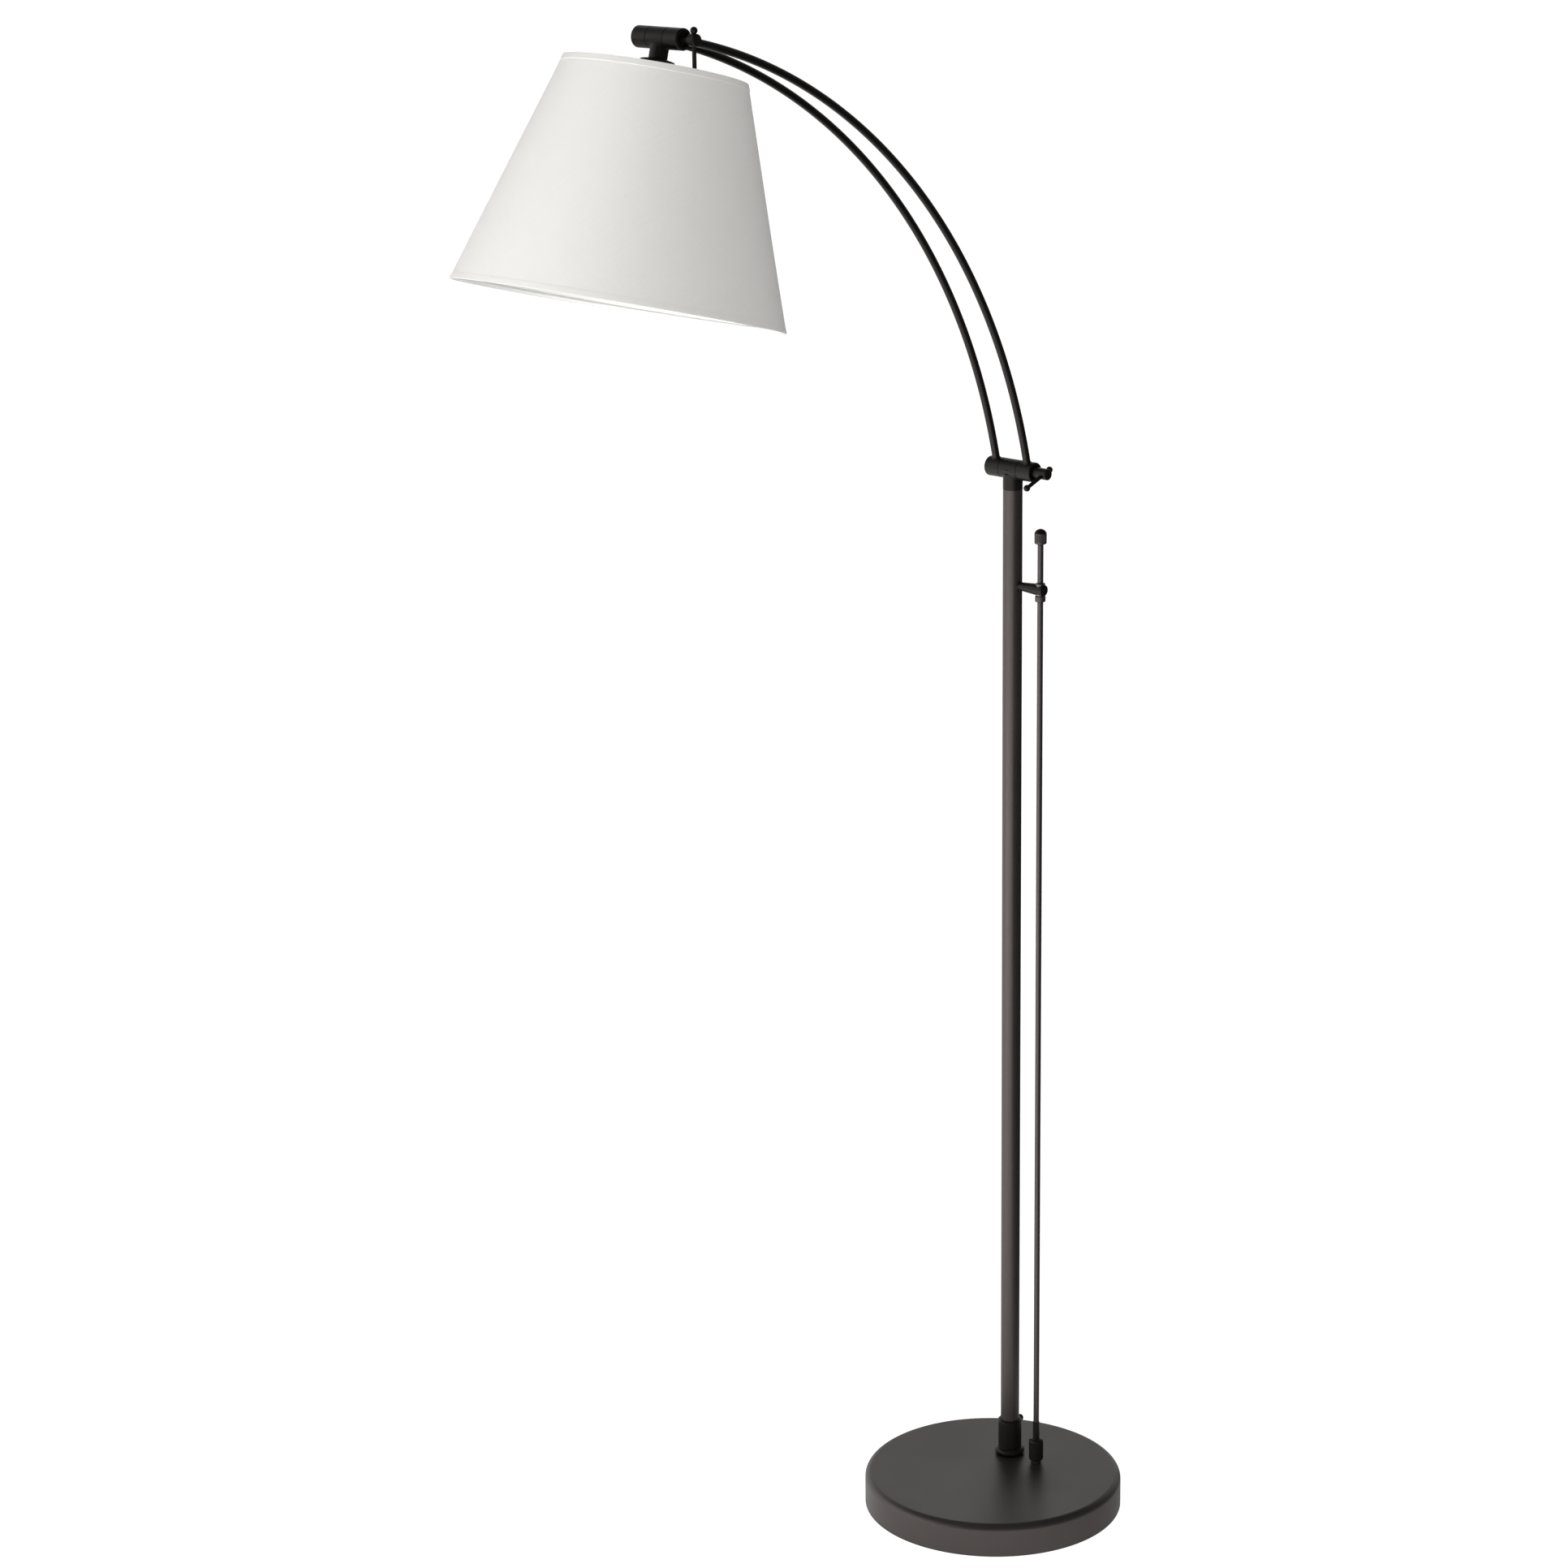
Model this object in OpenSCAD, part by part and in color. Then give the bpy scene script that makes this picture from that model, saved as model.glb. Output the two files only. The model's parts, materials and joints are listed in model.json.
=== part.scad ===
// Arc floor lamp: weighted round base, slim pole with a switch rod beside it, a
// clamped shoulder joint, two parallel arched tubes and a clamped head with a
// fabric shade. Millimetres, +Z up. The origin is the centre of the base where it
// stands on the floor. The arms reach towards -X, and both clamp axes run along Y
// with their T-handles on the -Y side.

/* [Base] */
// Diameter of the round base
base_d = 305; // [240:1:400]
// Height of the base cover above the floor
base_h = 40; // [36:1:60]
// Radius of the rounded top edge of the base cover
base_edge_r = 8; // [3:0.5:12]
// Sheet thickness of the base cover
base_wall = 1.5; // [1:0.1:3]
// Gap between the lower edge of the base cover and the floor
cover_lift = 1; // [0.5:0.1:1.8]
// Thickness of the felt pad under the base
pad_t = 2; // [2:0.5:4]
// How far the felt pad stays inside the cover's outside
pad_inset = 4; // [2:0.5:12]
// Thickness of the cast weight inside the base
weight_t = 18; // [12:1:24]
// Radial gap between the cast weight and the cover
weight_gap = 1; // [0.5:0.1:3]

/* [Pole] */
// Distance of the pole axis from the centre of the base along X
pole_x = 50.5; // [20:0.5:80]
// Distance of the pole axis from the centre of the base along Y
pole_y = 17.5; // [0:0.5:40]
// Outside diameter of the pole tube
pole_d = 22.2; // [19:0.1:30]
// Wall of the pole tube
pole_wall = 1.5; // [1:0.1:2.5]
// Wall of the sleeve that holds the foot of the pole
socket_wall = 2.9; // [2:0.1:5]
// Height of that sleeve above the base
socket_h = 44; // [30:1:70]
// How far the rounded ring at the foot of the sleeve stands out from it
socket_ring_out = 3.65; // [3.25:0.05:6]
// Height of the rounded ring
socket_ring_h = 8.5; // [5:0.1:12]
// Thickness of the sleeve's floor, which the nipple screws into
socket_floor = 12; // [8:0.5:16]
// Distance of the pole's set screw below the top of the sleeve
set_screw_drop = 5; // [4:0.5:12]

/* [Shoulder and arms] */
// Height of the shoulder axis above the floor
shoulder_z = 1245.5; // [900:0.5:1500]
// Horizontal distance from the shoulder axis to the head axis
arm_reach = 532; // [400:1:650]
// Height of the head axis above the shoulder axis
arm_rise = 514.5; // [400:0.5:620]
// Radius of the arc that the arm tubes follow
arm_arc_r = 662.5; // [600:0.5:900]
// Outside diameter of an arm tube
arm_tube_d = 8.6; // [7:0.1:11]
// Wall of an arm tube
arm_tube_wall = 1; // [0.6:0.1:1.5]
// Distance between the centre lines of the two arm tubes
arm_gap = 46; // [44:0.5:48]
// How close an arm tube's end comes to the joint axis inside its hub
arm_seat = 5.6; // [5:0.1:8]

/* [Clamp joints] */
// Diameter of the clamp barrels
barrel_d = 22.5; // [20:0.1:30]
// Length of each outer hub of a barrel
hub_len = 20.5; // [18:0.1:26]
// Length of the head barrel's middle section
head_mid_len = 24; // [22:0.1:28]
// Thickness of a friction washer
washer_t = 0.5; // [0.3:0.1:1.5]
// Gap on each side of a friction washer
washer_gap = 0.05; // [0.02:0.01:0.1]
// Chamfer on the outer ends of the barrels
barrel_chamfer = 0.8; // [0.3:0.1:1.5]
// Diameter of the recess in the outer end of each hub
recess_d = 16.4; // [14:0.1:18]
// Depth of the recess on the handle side
near_recess = 3.5; // [1:0.1:5]
// Thread diameter of the clamp screws
clamp_thread_d = 6; // [5:0.5:8]
// Radial clearance of every running fit
run_clear = 0.08; // [0.03:0.01:0.1]
// Thickness of the captive clamp nuts
clamp_nut_t = 3.2; // [2.5:0.1:4]
// Thickness of the plugs that close the far ends of the barrels
end_plug_t = 1.6; // [1:0.1:2]
// Diameter of the clamp screws' bosses
boss_d = 12.8; // [11:0.1:15]
// Length of the shoulder clamp's boss outside the barrel
shoulder_boss_len = 19.5; // [12:0.5:26]
// Distance of the shoulder T-bar from the end of its boss
shoulder_bar_inset = 6.5; // [4:0.1:8]
// Diameter of the neck of the head clamp screw
head_neck_d = 8; // [7:0.1:10]
// Length of that neck outside the barrel
head_neck_len = 9.4; // [6:0.1:14]
// Length of the head clamp's boss
head_boss_len = 10; // [8:0.1:14]
// Distance of the head T-bar from the end of its boss
head_bar_inset = 5; // [3.5:0.1:6]
// Diameter of the T-bars
bar_d = 4.4; // [3.5:0.1:5]
// Diameter of the balls on the T-bars
bar_ball_d = 7.6; // [6.5:0.1:10]
// Distance between the two ball centres of a T-bar
bar_span = 41; // [34:0.5:60]
// Angle of the shoulder T-bar below the horizontal
shoulder_bar_angle = 22; // [5:1:80]

/* [Switch rod] */
// Distance from the pole axis to the switch rod axis
rod_offset = 42; // [36:0.5:60]
// Diameter of the switch rod
rod_d = 6.7; // [5:0.1:8.5]
// Height of the switch bracket's centre above the floor
bracket_z = 1112; // [800:1:1180]
// Height of the rod above the bracket's centre, up to the knob
rod_rise = 53; // [30:1:60]
// Diameter of the knob
knob_d = 13.9; // [11:0.1:20]
// Height of the knob
knob_h = 17.4; // [12:0.1:24]
// Height of the knob's domed top
knob_dome = 5; // [2:0.1:6]
// Number of grooves round the knob
knob_grooves = 24; // [12:1:36]
// Diameter of the bracket's round end
bracket_eye_d = 13; // [12:0.1:16]
// Diameter of the bracket's arm where it meets the pole
bracket_root_d = 7.7; // [5:0.1:10]
// Diameter of the collar under the bracket
collar_d = 12; // [10:0.1:15]
// Height of that collar
collar_h = 6.6; // [4:0.1:10]
// Diameter of the coupler at the foot of the rod
coupler_d = 17.2; // [14:0.1:22]
// Height of the coupler
coupler_h = 27.5; // [20:0.5:36]
// Wall of the neck above the coupler
coupler_neck_wall = 0.55; // [0.5:0.05:2]
// Height of that neck
coupler_neck_h = 22; // [10:1:40]

/* [Shade] */
// Tilt of the shade axis from the vertical
shade_tilt = 14.3; // [0:0.1:25]
// Outside diameter of the shade's top edge
shade_top_d = 188; // [170:1:220]
// Outside diameter of the shade's bottom edge
shade_bottom_d = 343; // [280:1:400]
// Height of the shade along its axis
shade_h = 238; // [190:1:290]
// Distance from the head axis to the shade's top edge
shade_drop = 32; // [30:0.5:40]
// Thickness of the linen cover
fabric_t = 0.8; // [0.5:0.1:1.5]
// Thickness of the stiff liner behind it
liner_t = 0.6; // [0.3:0.1:1]
// Height of the folded trims on both edges
trim_h = 6; // [4:0.5:12]
// Thickness of the folded trims
trim_t = 0.5; // [0.3:0.1:1]
// Wire diameter of the two shade rings and the spider's spokes
ring_wire_d = 3.6; // [2.5:0.1:5]

/* [Lamp head] */
// Diameter of the stem under the head barrel
stem_d = 19.3; // [16:0.1:22]
// Distance from the head axis to the top of the disc
stem_len = 24; // [20:0.5:28]
// Diameter of the disc above the shade
disc_d = 35.6; // [30:0.1:36]
// Thickness of that disc
disc_t = 3; // [2:0.1:4]
// Height of the lamp holder's cap
holder_cap_h = 13; // [10:0.5:18]
// Diameter of the lamp holder's threaded skirt
holder_d = 39; // [34:0.5:44]
// Height of the lamp holder's skirt
holder_h = 34; // [28:0.5:40]
// Largest diameter of the bulb
bulb_d = 60; // [45:1:70]
// Distance from the bulb's cap to the bottom of its glass
bulb_len = 90; // [75:1:110]
// Thread diameter of the bulb's cap
bulb_cap_d = 26; // [24:0.5:27]

/* [Hidden] */
$fn = 96;
eps = 0.01;

bronze = [0.20, 0.18, 0.17];
dark_bronze = [0.13, 0.12, 0.11];
steel = [0.62, 0.62, 0.63];
brass = [0.78, 0.62, 0.30];
iron = [0.25, 0.25, 0.26];
felt = [0.10, 0.10, 0.10];
black_plastic = [0.08, 0.08, 0.08];
linen = [0.93, 0.92, 0.89];
milk = [0.97, 0.97, 0.95];

// Base, from the floor up
base_r = base_d / 2;
cover_inside_z = base_h - base_wall;
weight_r = base_r - base_wall - weight_gap;
weight_top = pad_t + weight_t;
nipple_r = 5;
nipple_bore_r = 3.6;
nipple_hole_r = nipple_r + 0.3;
nipple_boss_r = 22;
nipple_grip = 6;
nut_pocket_r = 13;
nut_pocket_h = 8;
nipple_washer_t = 1.5;
nipple_nut_t = 4;
nipple_nut_r = 9;
lead_r = 2.6;

// Cord inlet at the back of the base
inlet_z = pad_t + 10;
inlet_hole_r = 6;
inlet_bore_r = 3.4;
inlet_flange_r = 8.5;
inlet_flange_t = 2;
inlet_depth = 8;
channel_w = 15;

// Dimmer in the base
rod_x = pole_x;
rod_y = pole_y - rod_offset;
rod_r = rod_d / 2;
dimmer_w = 30;
dimmer_l = 26;
dimmer_h = 18;
dimmer_gap = 4;
bushing_r = 5;
shaft_r = 3;
dimmer_nut_r = 5.9;
dimmer_nut_t = 3;
bushing_top = base_h + dimmer_nut_t + 0.3;
coupler_z = bushing_top + 0.3;

// Pole and its socket
pole_r = pole_d / 2;
pole_inside_r = pole_r - pole_wall;
pole_fit = 0.05;
socket_d = pole_d + 2 * socket_wall;
socket_ring_d = socket_d + 2 * socket_ring_out;
pole_foot_z = base_h + socket_floor;
set_screw_z = base_h + socket_h - set_screw_drop;
set_screw_r = 2;
set_screw_head_r = 4;
set_screw_head_l = 6;
set_screw_gap = 1;
tee_collar = 23;
pole_top_z = shoulder_z - tee_collar;
spigot_h = 18;
tee_wire_r = 4;

// Bracket and rod
bush_wall = 1.5;
bush_r = rod_r + run_clear + bush_wall;
bush_rim = 0.9;
bush_rim_h = 1.4;
bracket_clearance = 0.3;
bush_cover = 2.65;
bracket_end = rod_r + bush_cover; // from the rod axis to the end face
bracket_top = bracket_z + bracket_eye_d / 2;
bracket_bottom = bracket_z - bracket_eye_d / 2;
plug_r = 4.4;
plug_depth = 1.2;
plug_t = 1.2;
knob_z = bracket_z + rod_rise;
rod_grip = 12;

// Barrels: hub_start is where an outer hub begins, measured from the middle
barrel_r = barrel_d / 2;
washer_room = washer_t + 2 * washer_gap;
shoulder_mid_spare = 3.3;
shoulder_mid_len = pole_d + shoulder_mid_spare;
shoulder_hub_start = shoulder_mid_len / 2 + washer_room;
head_hub_start = head_mid_len / 2 + washer_room;
clamp_r = clamp_thread_d / 2;
recess_r = recess_d / 2;
far_recess = clamp_nut_t + end_plug_t;
washer_outer_r = barrel_r - 0.6;
boss_r = boss_d / 2;
bar_r = bar_d / 2;
ball_r = bar_ball_d / 2;
bar_hole_r = bar_r + run_clear;
ball_gap = 0.12;
bar_short = boss_r + sqrt(ball_r * ball_r - bar_hole_r * bar_hole_r) + ball_gap;

// Arm arc in the XZ plane, through both joint axes
head_x = pole_x - arm_reach;
head_z = shoulder_z + arm_rise;
chord = norm([arm_reach, arm_rise]);
chord_angle = atan2(arm_rise, arm_reach);
half_sweep = asin(chord / 2 / arm_arc_r);
shoulder_angle = 90 - chord_angle - half_sweep;
sweep = 2 * half_sweep;
arc_x = pole_x - arm_arc_r * cos(shoulder_angle);
arc_z = shoulder_z - arm_arc_r * sin(shoulder_angle);
arm_tube_r = arm_tube_d / 2;
arm_bore_r = arm_tube_r - arm_tube_wall;
arm_lead_r = 2.2;
seat_angle = arm_seat / arm_arc_r * 180 / PI;
arm_fit = 0.03;
// Direction of each tube where it leaves its barrel, turned from +X to +Z
shoulder_bore_dir = 90 + shoulder_angle + seat_angle / 2;
head_bore_dir = shoulder_angle + sweep - 90 - seat_angle / 2;

// Bosses and T-bars, measured along the barrels from their middles
shoulder_boss_start = shoulder_hub_start + hub_len - near_recess + 0.1;
shoulder_boss_end = shoulder_hub_start + hub_len + shoulder_boss_len;
shoulder_bar_s = shoulder_boss_end - shoulder_bar_inset;
head_boss_start = head_hub_start + hub_len + head_neck_len;
head_bar_s = head_boss_start + head_boss_len - head_bar_inset;

// Head, measured down from the head axis along the shade axis
disc_bottom = stem_len + disc_t;
cap_bottom = disc_bottom + holder_cap_h;
holder_r = holder_d / 2;
holder_lip_r = holder_r + 2.8;
holder_lip_t = 3;
spider_t = 1.6;
spider_w = 6;
spider_gap = 0.4;
spider_z = cap_bottom + holder_lip_t;
ring_nut_t = 6;
ring_nut_w = 5;
shell_wall = 0.5;
shell_gap = 0.3;
shell_r = bulb_cap_d / 2 + shell_gap;
shell_h = 24;
contact_depth = 9;
contact_t = 1;
bulb_cap_top = cap_bottom + contact_depth + contact_t;
bulb_cap_h = 25;
bulb_seat = bulb_cap_top + bulb_cap_h;
bulb_r = bulb_d / 2;
bulb_neck_r = 14.5;
bulb_cone_r = 0.8 * bulb_r;
bulb_cone_h = bulb_len / 2;
glass_t = 1;
stem_bore_depth = 9;
nipple_reach = 4;

// Shade cone, measured the same way
shade_top_r = shade_top_d / 2;
shade_bottom_r = shade_bottom_d / 2;
shade_slope = (shade_bottom_r - shade_top_r) / shade_h;
shade_bottom = shade_drop + shade_h;
ring_r = ring_wire_d / 2;
ring_gap = 0.2;
slant = sqrt(1 + shade_slope * shade_slope);
wall_all = fabric_t + liner_t;
ring_inset = (wall_all + ring_gap + ring_r) * slant;
top_ring_z = shade_drop + ring_r + ring_gap;
bottom_ring_z = shade_bottom - ring_r - ring_gap;
spoke_count = 3;
spoke_start = 90;

function shade_r_at(depth) = shade_top_r + (depth - shade_drop) * shade_slope;

// ---------------------------------------------------------------- helpers

module at_pole() {
    translate([pole_x, pole_y, 0]) children();
}

module at_rod() {
    translate([rod_x, rod_y, 0]) children();
}

// Barrel frame: Z runs along the barrel towards the handle side (-Y)
module at_barrel(x, z) {
    translate([x, pole_y, z]) rotate([90, 0, 0]) children();
}

module at_shoulder() {
    at_barrel(pole_x, shoulder_z) children();
}

module at_head_barrel() {
    at_barrel(head_x, head_z) children();
}

// Shade frame: Z runs up the shade axis from the head axis
module at_shade() {
    translate([head_x, pole_y, head_z]) rotate([0, shade_tilt, 0]) children();
}

module tube(r_out, r_in, h) {
    difference() {
        cylinder(r = r_out, h = h);
        translate([0, 0, -eps]) cylinder(r = r_in, h = h + 2 * eps);
    }
}

// Cylinder from z = 0 up, with a chamfer round its top edge
module chamfered(r, h, c) {
    cylinder(r = r, h = h - c);
    translate([0, 0, h - c]) cylinder(r1 = r, r2 = r - c, h = c);
}

// Half outline of a disc with a rounded top edge
module rounded_disc(r, h, edge) {
    square([r - edge, h]);
    square([r, h - edge]);
    translate([r - edge, h - edge]) circle(edge);
}

module hex_nut(across_r, bore_r, t) {
    difference() {
        cylinder(r = across_r, h = t, $fn = 6);
        translate([0, 0, -eps]) cylinder(r = bore_r, h = t + 2 * eps);
    }
}

// Ring of conical sheet between two depths, its outside on the shade cone
module cone_band(top, bottom, inset, t) {
    r_top = shade_r_at(top) - inset * slant;
    r_bottom = shade_r_at(bottom) - inset * slant;
    rotate_extrude()
        polygon([[r_top, -top], [r_top - t * slant, -top],
            [r_bottom - t * slant, -bottom], [r_bottom, -bottom]]);
}

// Round wire bent to a ring at a depth below the head axis
module wire_ring(depth) {
    translate([0, 0, -depth])
        rotate_extrude() translate([shade_r_at(depth) - ring_inset, 0]) circle(ring_r);
}

// ------------------------------------------------------------------- base

module base_cover() {
    color(bronze) difference() {
        rotate_extrude() difference() {
            rounded_disc(base_r, base_h, base_edge_r);
            square([2 * base_r, 2 * cover_lift], center = true);
            rounded_disc(base_r - base_wall, cover_inside_z,
                base_edge_r - base_wall);
        }
        at_pole() translate([0, 0, cover_inside_z - eps])
            cylinder(r = nipple_hole_r, h = base_wall + 2 * eps);
        at_rod() translate([0, 0, cover_inside_z - eps])
            cylinder(r = bushing_r + 0.2, h = base_wall + 2 * eps);
        translate([base_r - 2 * base_wall, 0, inlet_z]) rotate([0, 90, 0])
            cylinder(r = inlet_hole_r + 0.1, h = 4 * base_wall);
    }
}

module base_weight() {
    color(iron) difference() {
        union() {
            translate([0, 0, pad_t]) cylinder(r = weight_r, h = weight_t);
            at_pole() translate([0, 0, pad_t])
                cylinder(r = nipple_boss_r, h = cover_inside_z - pad_t);
        }
        at_pole() translate([0, 0, pad_t - eps])
            cylinder(r = nipple_hole_r, h = cover_inside_z);
        at_pole() translate([0, 0, pad_t - eps])
            cylinder(r = nut_pocket_r, h = nut_pocket_h + eps);
        translate([rod_x - dimmer_w / 2 - dimmer_gap,
            rod_y - dimmer_l / 2 - dimmer_gap, pad_t - eps])
            cube([dimmer_w + 2 * dimmer_gap, dimmer_l + 2 * dimmer_gap,
                weight_t + 2 * eps]);
        translate([pole_x - channel_w / 2, -channel_w / 2, pad_t - eps])
            cube([base_r, channel_w, inlet_z - pad_t + channel_w / 2]);
    }
}

module base_pad() {
    color(felt) cylinder(r = base_r - pad_inset, h = pad_t);
}

module cord_grommet() {
    color(black_plastic) translate([base_r, 0, inlet_z]) rotate([0, 90, 0])
        difference() {
            union() {
                chamfered(inlet_flange_r, inlet_flange_t, 0.6);
                translate([0, 0, -inlet_depth])
                    cylinder(r = inlet_hole_r, h = inlet_depth + eps);
            }
            translate([0, 0, -inlet_depth - eps])
                cylinder(r = inlet_bore_r, h = inlet_depth + inlet_flange_t + 2 * eps);
        }
}

module socket_nipple() {
    bottom = pad_t + nut_pocket_h - nipple_washer_t - nipple_nut_t - 1;
    top = base_h + socket_floor + nipple_grip;
    color(brass) at_pole() translate([0, 0, bottom])
        tube(nipple_r, nipple_bore_r, top - bottom);
}

module nipple_washer() {
    color(steel) at_pole()
        translate([0, 0, pad_t + nut_pocket_h - nipple_washer_t])
            tube(nut_pocket_r - 1.5, nipple_r + 0.2, nipple_washer_t);
}

module nipple_nut() {
    color(brass) at_pole()
        translate([0, 0, pad_t + nut_pocket_h - nipple_washer_t - nipple_nut_t])
            hex_nut(nipple_nut_r, nipple_r, nipple_nut_t);
}

// ------------------------------------------------------------------- pole

module pole_socket() {
    ring_round = socket_ring_h / 2;
    rim_round = 1.3;
    color(bronze) at_pole() difference() {
        translate([0, 0, base_h]) rotate_extrude() {
            square([socket_d / 2, socket_h - rim_round]);
            square([socket_ring_d / 2 - ring_round, socket_ring_h]);
            translate([socket_ring_d / 2 - ring_round, ring_round])
                circle(ring_round);
            translate([0, socket_h - 2 * rim_round])
                square([socket_d / 2 - rim_round + 0.4, 2 * rim_round]);
            translate([socket_d / 2 - rim_round + 0.4, socket_h - rim_round])
                circle(rim_round);
        }
        translate([0, 0, pole_foot_z])
            cylinder(r = pole_r + pole_fit, h = socket_h);
        translate([0, 0, base_h - eps])
            cylinder(r = nipple_r, h = socket_floor + 2 * eps);
        translate([0, 0, set_screw_z]) rotate([0, 90, 0])
            cylinder(r = set_screw_r + run_clear, h = socket_d);
    }
}

module pole_tube() {
    color(bronze) at_pole() translate([0, 0, pole_foot_z])
        tube(pole_r, pole_inside_r, pole_top_z - pole_foot_z);
}

// Mains lead inside the pole, from the base to the shoulder
module pole_lead() {
    bottom = pad_t + 1;
    color(black_plastic) at_pole() translate([0, 0, bottom])
        cylinder(r = lead_r, h = shoulder_z - barrel_r - bottom);
}

module pole_set_screw() {
    start = pole_r + pole_fit + 0.05;
    head_start = socket_d / 2 + set_screw_gap;
    color(bronze) at_pole() translate([0, 0, set_screw_z]) rotate([0, 90, 0]) {
        translate([0, 0, start])
            cylinder(r = set_screw_r, h = head_start - start + eps);
        translate([0, 0, head_start])
            chamfered(set_screw_head_r, set_screw_head_l, 0.8);
    }
}

// ------------------------------------------------------ dimmer and its rod

module dimmer_body() {
    body_z = cover_inside_z - dimmer_h;
    color(black_plastic) at_rod() difference() {
        union() {
            translate([-dimmer_w / 2, -dimmer_l / 2, body_z])
                cube([dimmer_w, dimmer_l, dimmer_h]);
            translate([0, 0, cover_inside_z - eps])
                cylinder(r = bushing_r, h = bushing_top - cover_inside_z + eps);
        }
        translate([0, 0, body_z + dimmer_h / 2])
            cylinder(r = shaft_r + run_clear, h = 2 * dimmer_h + base_wall);
    }
}

module dimmer_nut() {
    color(bronze) at_rod() translate([0, 0, base_h])
        tube(dimmer_nut_r, bushing_r, dimmer_nut_t);
}

module dimmer_shaft() {
    bottom = cover_inside_z - dimmer_h / 2 + 0.5;
    top = coupler_z + coupler_h / 2 - 1;
    color(steel) at_rod() translate([0, 0, bottom])
        cylinder(r = shaft_r, h = top - bottom);
}

module rod_coupler() {
    r = coupler_d / 2;
    top_round = 3.6;
    foot_round = 2.6;
    shaft_hole = coupler_h / 2;
    color(bronze) at_rod() translate([0, 0, coupler_z]) difference() {
        rotate_extrude() {
            translate([0, foot_round])
                square([r, coupler_h - top_round - foot_round]);
            square([r - top_round, coupler_h]);
            square([r - foot_round, coupler_h / 2]);
            translate([r - top_round, coupler_h - top_round]) circle(top_round);
            translate([r - foot_round, foot_round]) circle(foot_round);
            square([rod_r + coupler_neck_wall, coupler_h + coupler_neck_h]);
        }
        translate([0, 0, -eps]) cylinder(r = shaft_r, h = shaft_hole);
        translate([0, 0, shaft_hole + 1])
            cylinder(r = rod_r, h = coupler_h + coupler_neck_h);
    }
}

module switch_rod() {
    bottom = coupler_z + coupler_h / 2 + 1;
    color(bronze) at_rod() translate([0, 0, bottom])
        cylinder(r = rod_r, h = knob_z + rod_grip - bottom);
}

module rod_collar() {
    color(bronze) at_rod()
        translate([0, 0, bracket_bottom - bracket_clearance - collar_h])
            difference() {
                union() {
                    cylinder(r1 = collar_d / 2 - 0.7, r2 = collar_d / 2, h = 0.7);
                    translate([0, 0, 0.7])
                        cylinder(r = collar_d / 2, h = collar_h - 0.7);
                }
                translate([0, 0, -eps])
                    cylinder(r = rod_r, h = collar_h + 2 * eps);
            }
}

module rod_knob() {
    r = knob_d / 2;
    foot = 2;
    dome_r = (r * r + knob_dome * knob_dome) / (2 * knob_dome);
    side_h = knob_h - knob_dome;
    groove_r = 0.35;
    color(dark_bronze) at_rod() translate([0, 0, knob_z]) difference() {
        union() {
            cylinder(r1 = r - foot, r2 = r, h = foot);
            translate([0, 0, foot]) cylinder(r = r, h = side_h - foot);
            intersection() {
                translate([0, 0, knob_h - dome_r]) sphere(r = dome_r);
                translate([0, 0, side_h - eps]) cylinder(r = r, h = knob_dome + 1);
            }
        }
        for (i = [0 : knob_grooves - 1])
            rotate(i * 360 / knob_grooves) translate([r + groove_r / 2, 0, foot])
                cylinder(r = groove_r, h = side_h - foot - 1, $fn = 24);
        translate([0, 0, -eps]) cylinder(r = rod_r, h = rod_grip + eps);
    }
}

module switch_bracket() {
    eye_r = bracket_eye_d / 2;
    arm_l = rod_offset - eye_r;
    color(bronze) difference() {
        at_pole() translate([0, 0, bracket_z]) rotate([90, 0, 0]) {
            cylinder(r1 = bracket_root_d / 2, r2 = eye_r, h = arm_l);
            translate([0, 0, arm_l - eps])
                chamfered(eye_r, eye_r + bracket_end, 0.6);
        }
        at_pole() translate([0, 0, bracket_z - bracket_eye_d])
            cylinder(r = pole_r, h = 2 * bracket_eye_d);
        at_rod() translate([0, 0, bracket_z - bracket_eye_d])
            cylinder(r = bush_r, h = 2 * bracket_eye_d);
        translate([rod_x, rod_y - bracket_end - eps, bracket_z]) rotate([-90, 0, 0])
            cylinder(r = plug_r, h = plug_depth + eps);
    }
}

module bracket_bush() {
    color(steel) at_rod() difference() {
        union() {
            translate([0, 0, bracket_bottom])
                cylinder(r = bush_r, h = bracket_eye_d);
            translate([0, 0, bracket_top - eps])
                chamfered(bush_r + bush_rim, bush_rim_h, 0.6);
        }
        translate([0, 0, bracket_bottom - eps])
            cylinder(r = rod_r + run_clear, h = bracket_eye_d + 2 * bush_rim_h);
    }
}

module bracket_end_plug() {
    color(dark_bronze) difference() {
        translate([rod_x, rod_y - bracket_end, bracket_z]) rotate([-90, 0, 0])
            translate([0, 0, plug_depth - plug_t / 2])
                cylinder(r = plug_r - 0.1, h = plug_t / 2);
        at_rod() translate([0, 0, bracket_bottom])
            cylinder(r = bush_r, h = bracket_eye_d);
    }
}

// --------------------------------------------------------- shoulder and arms

// Middle section of a barrel, drilled for the clamp screw
module barrel_middle(len) {
    difference() {
        translate([0, 0, -len / 2]) cylinder(r = barrel_r, h = len);
        translate([0, 0, -len / 2 - eps])
            cylinder(r = clamp_r + run_clear, h = len + 2 * eps);
    }
}

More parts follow.
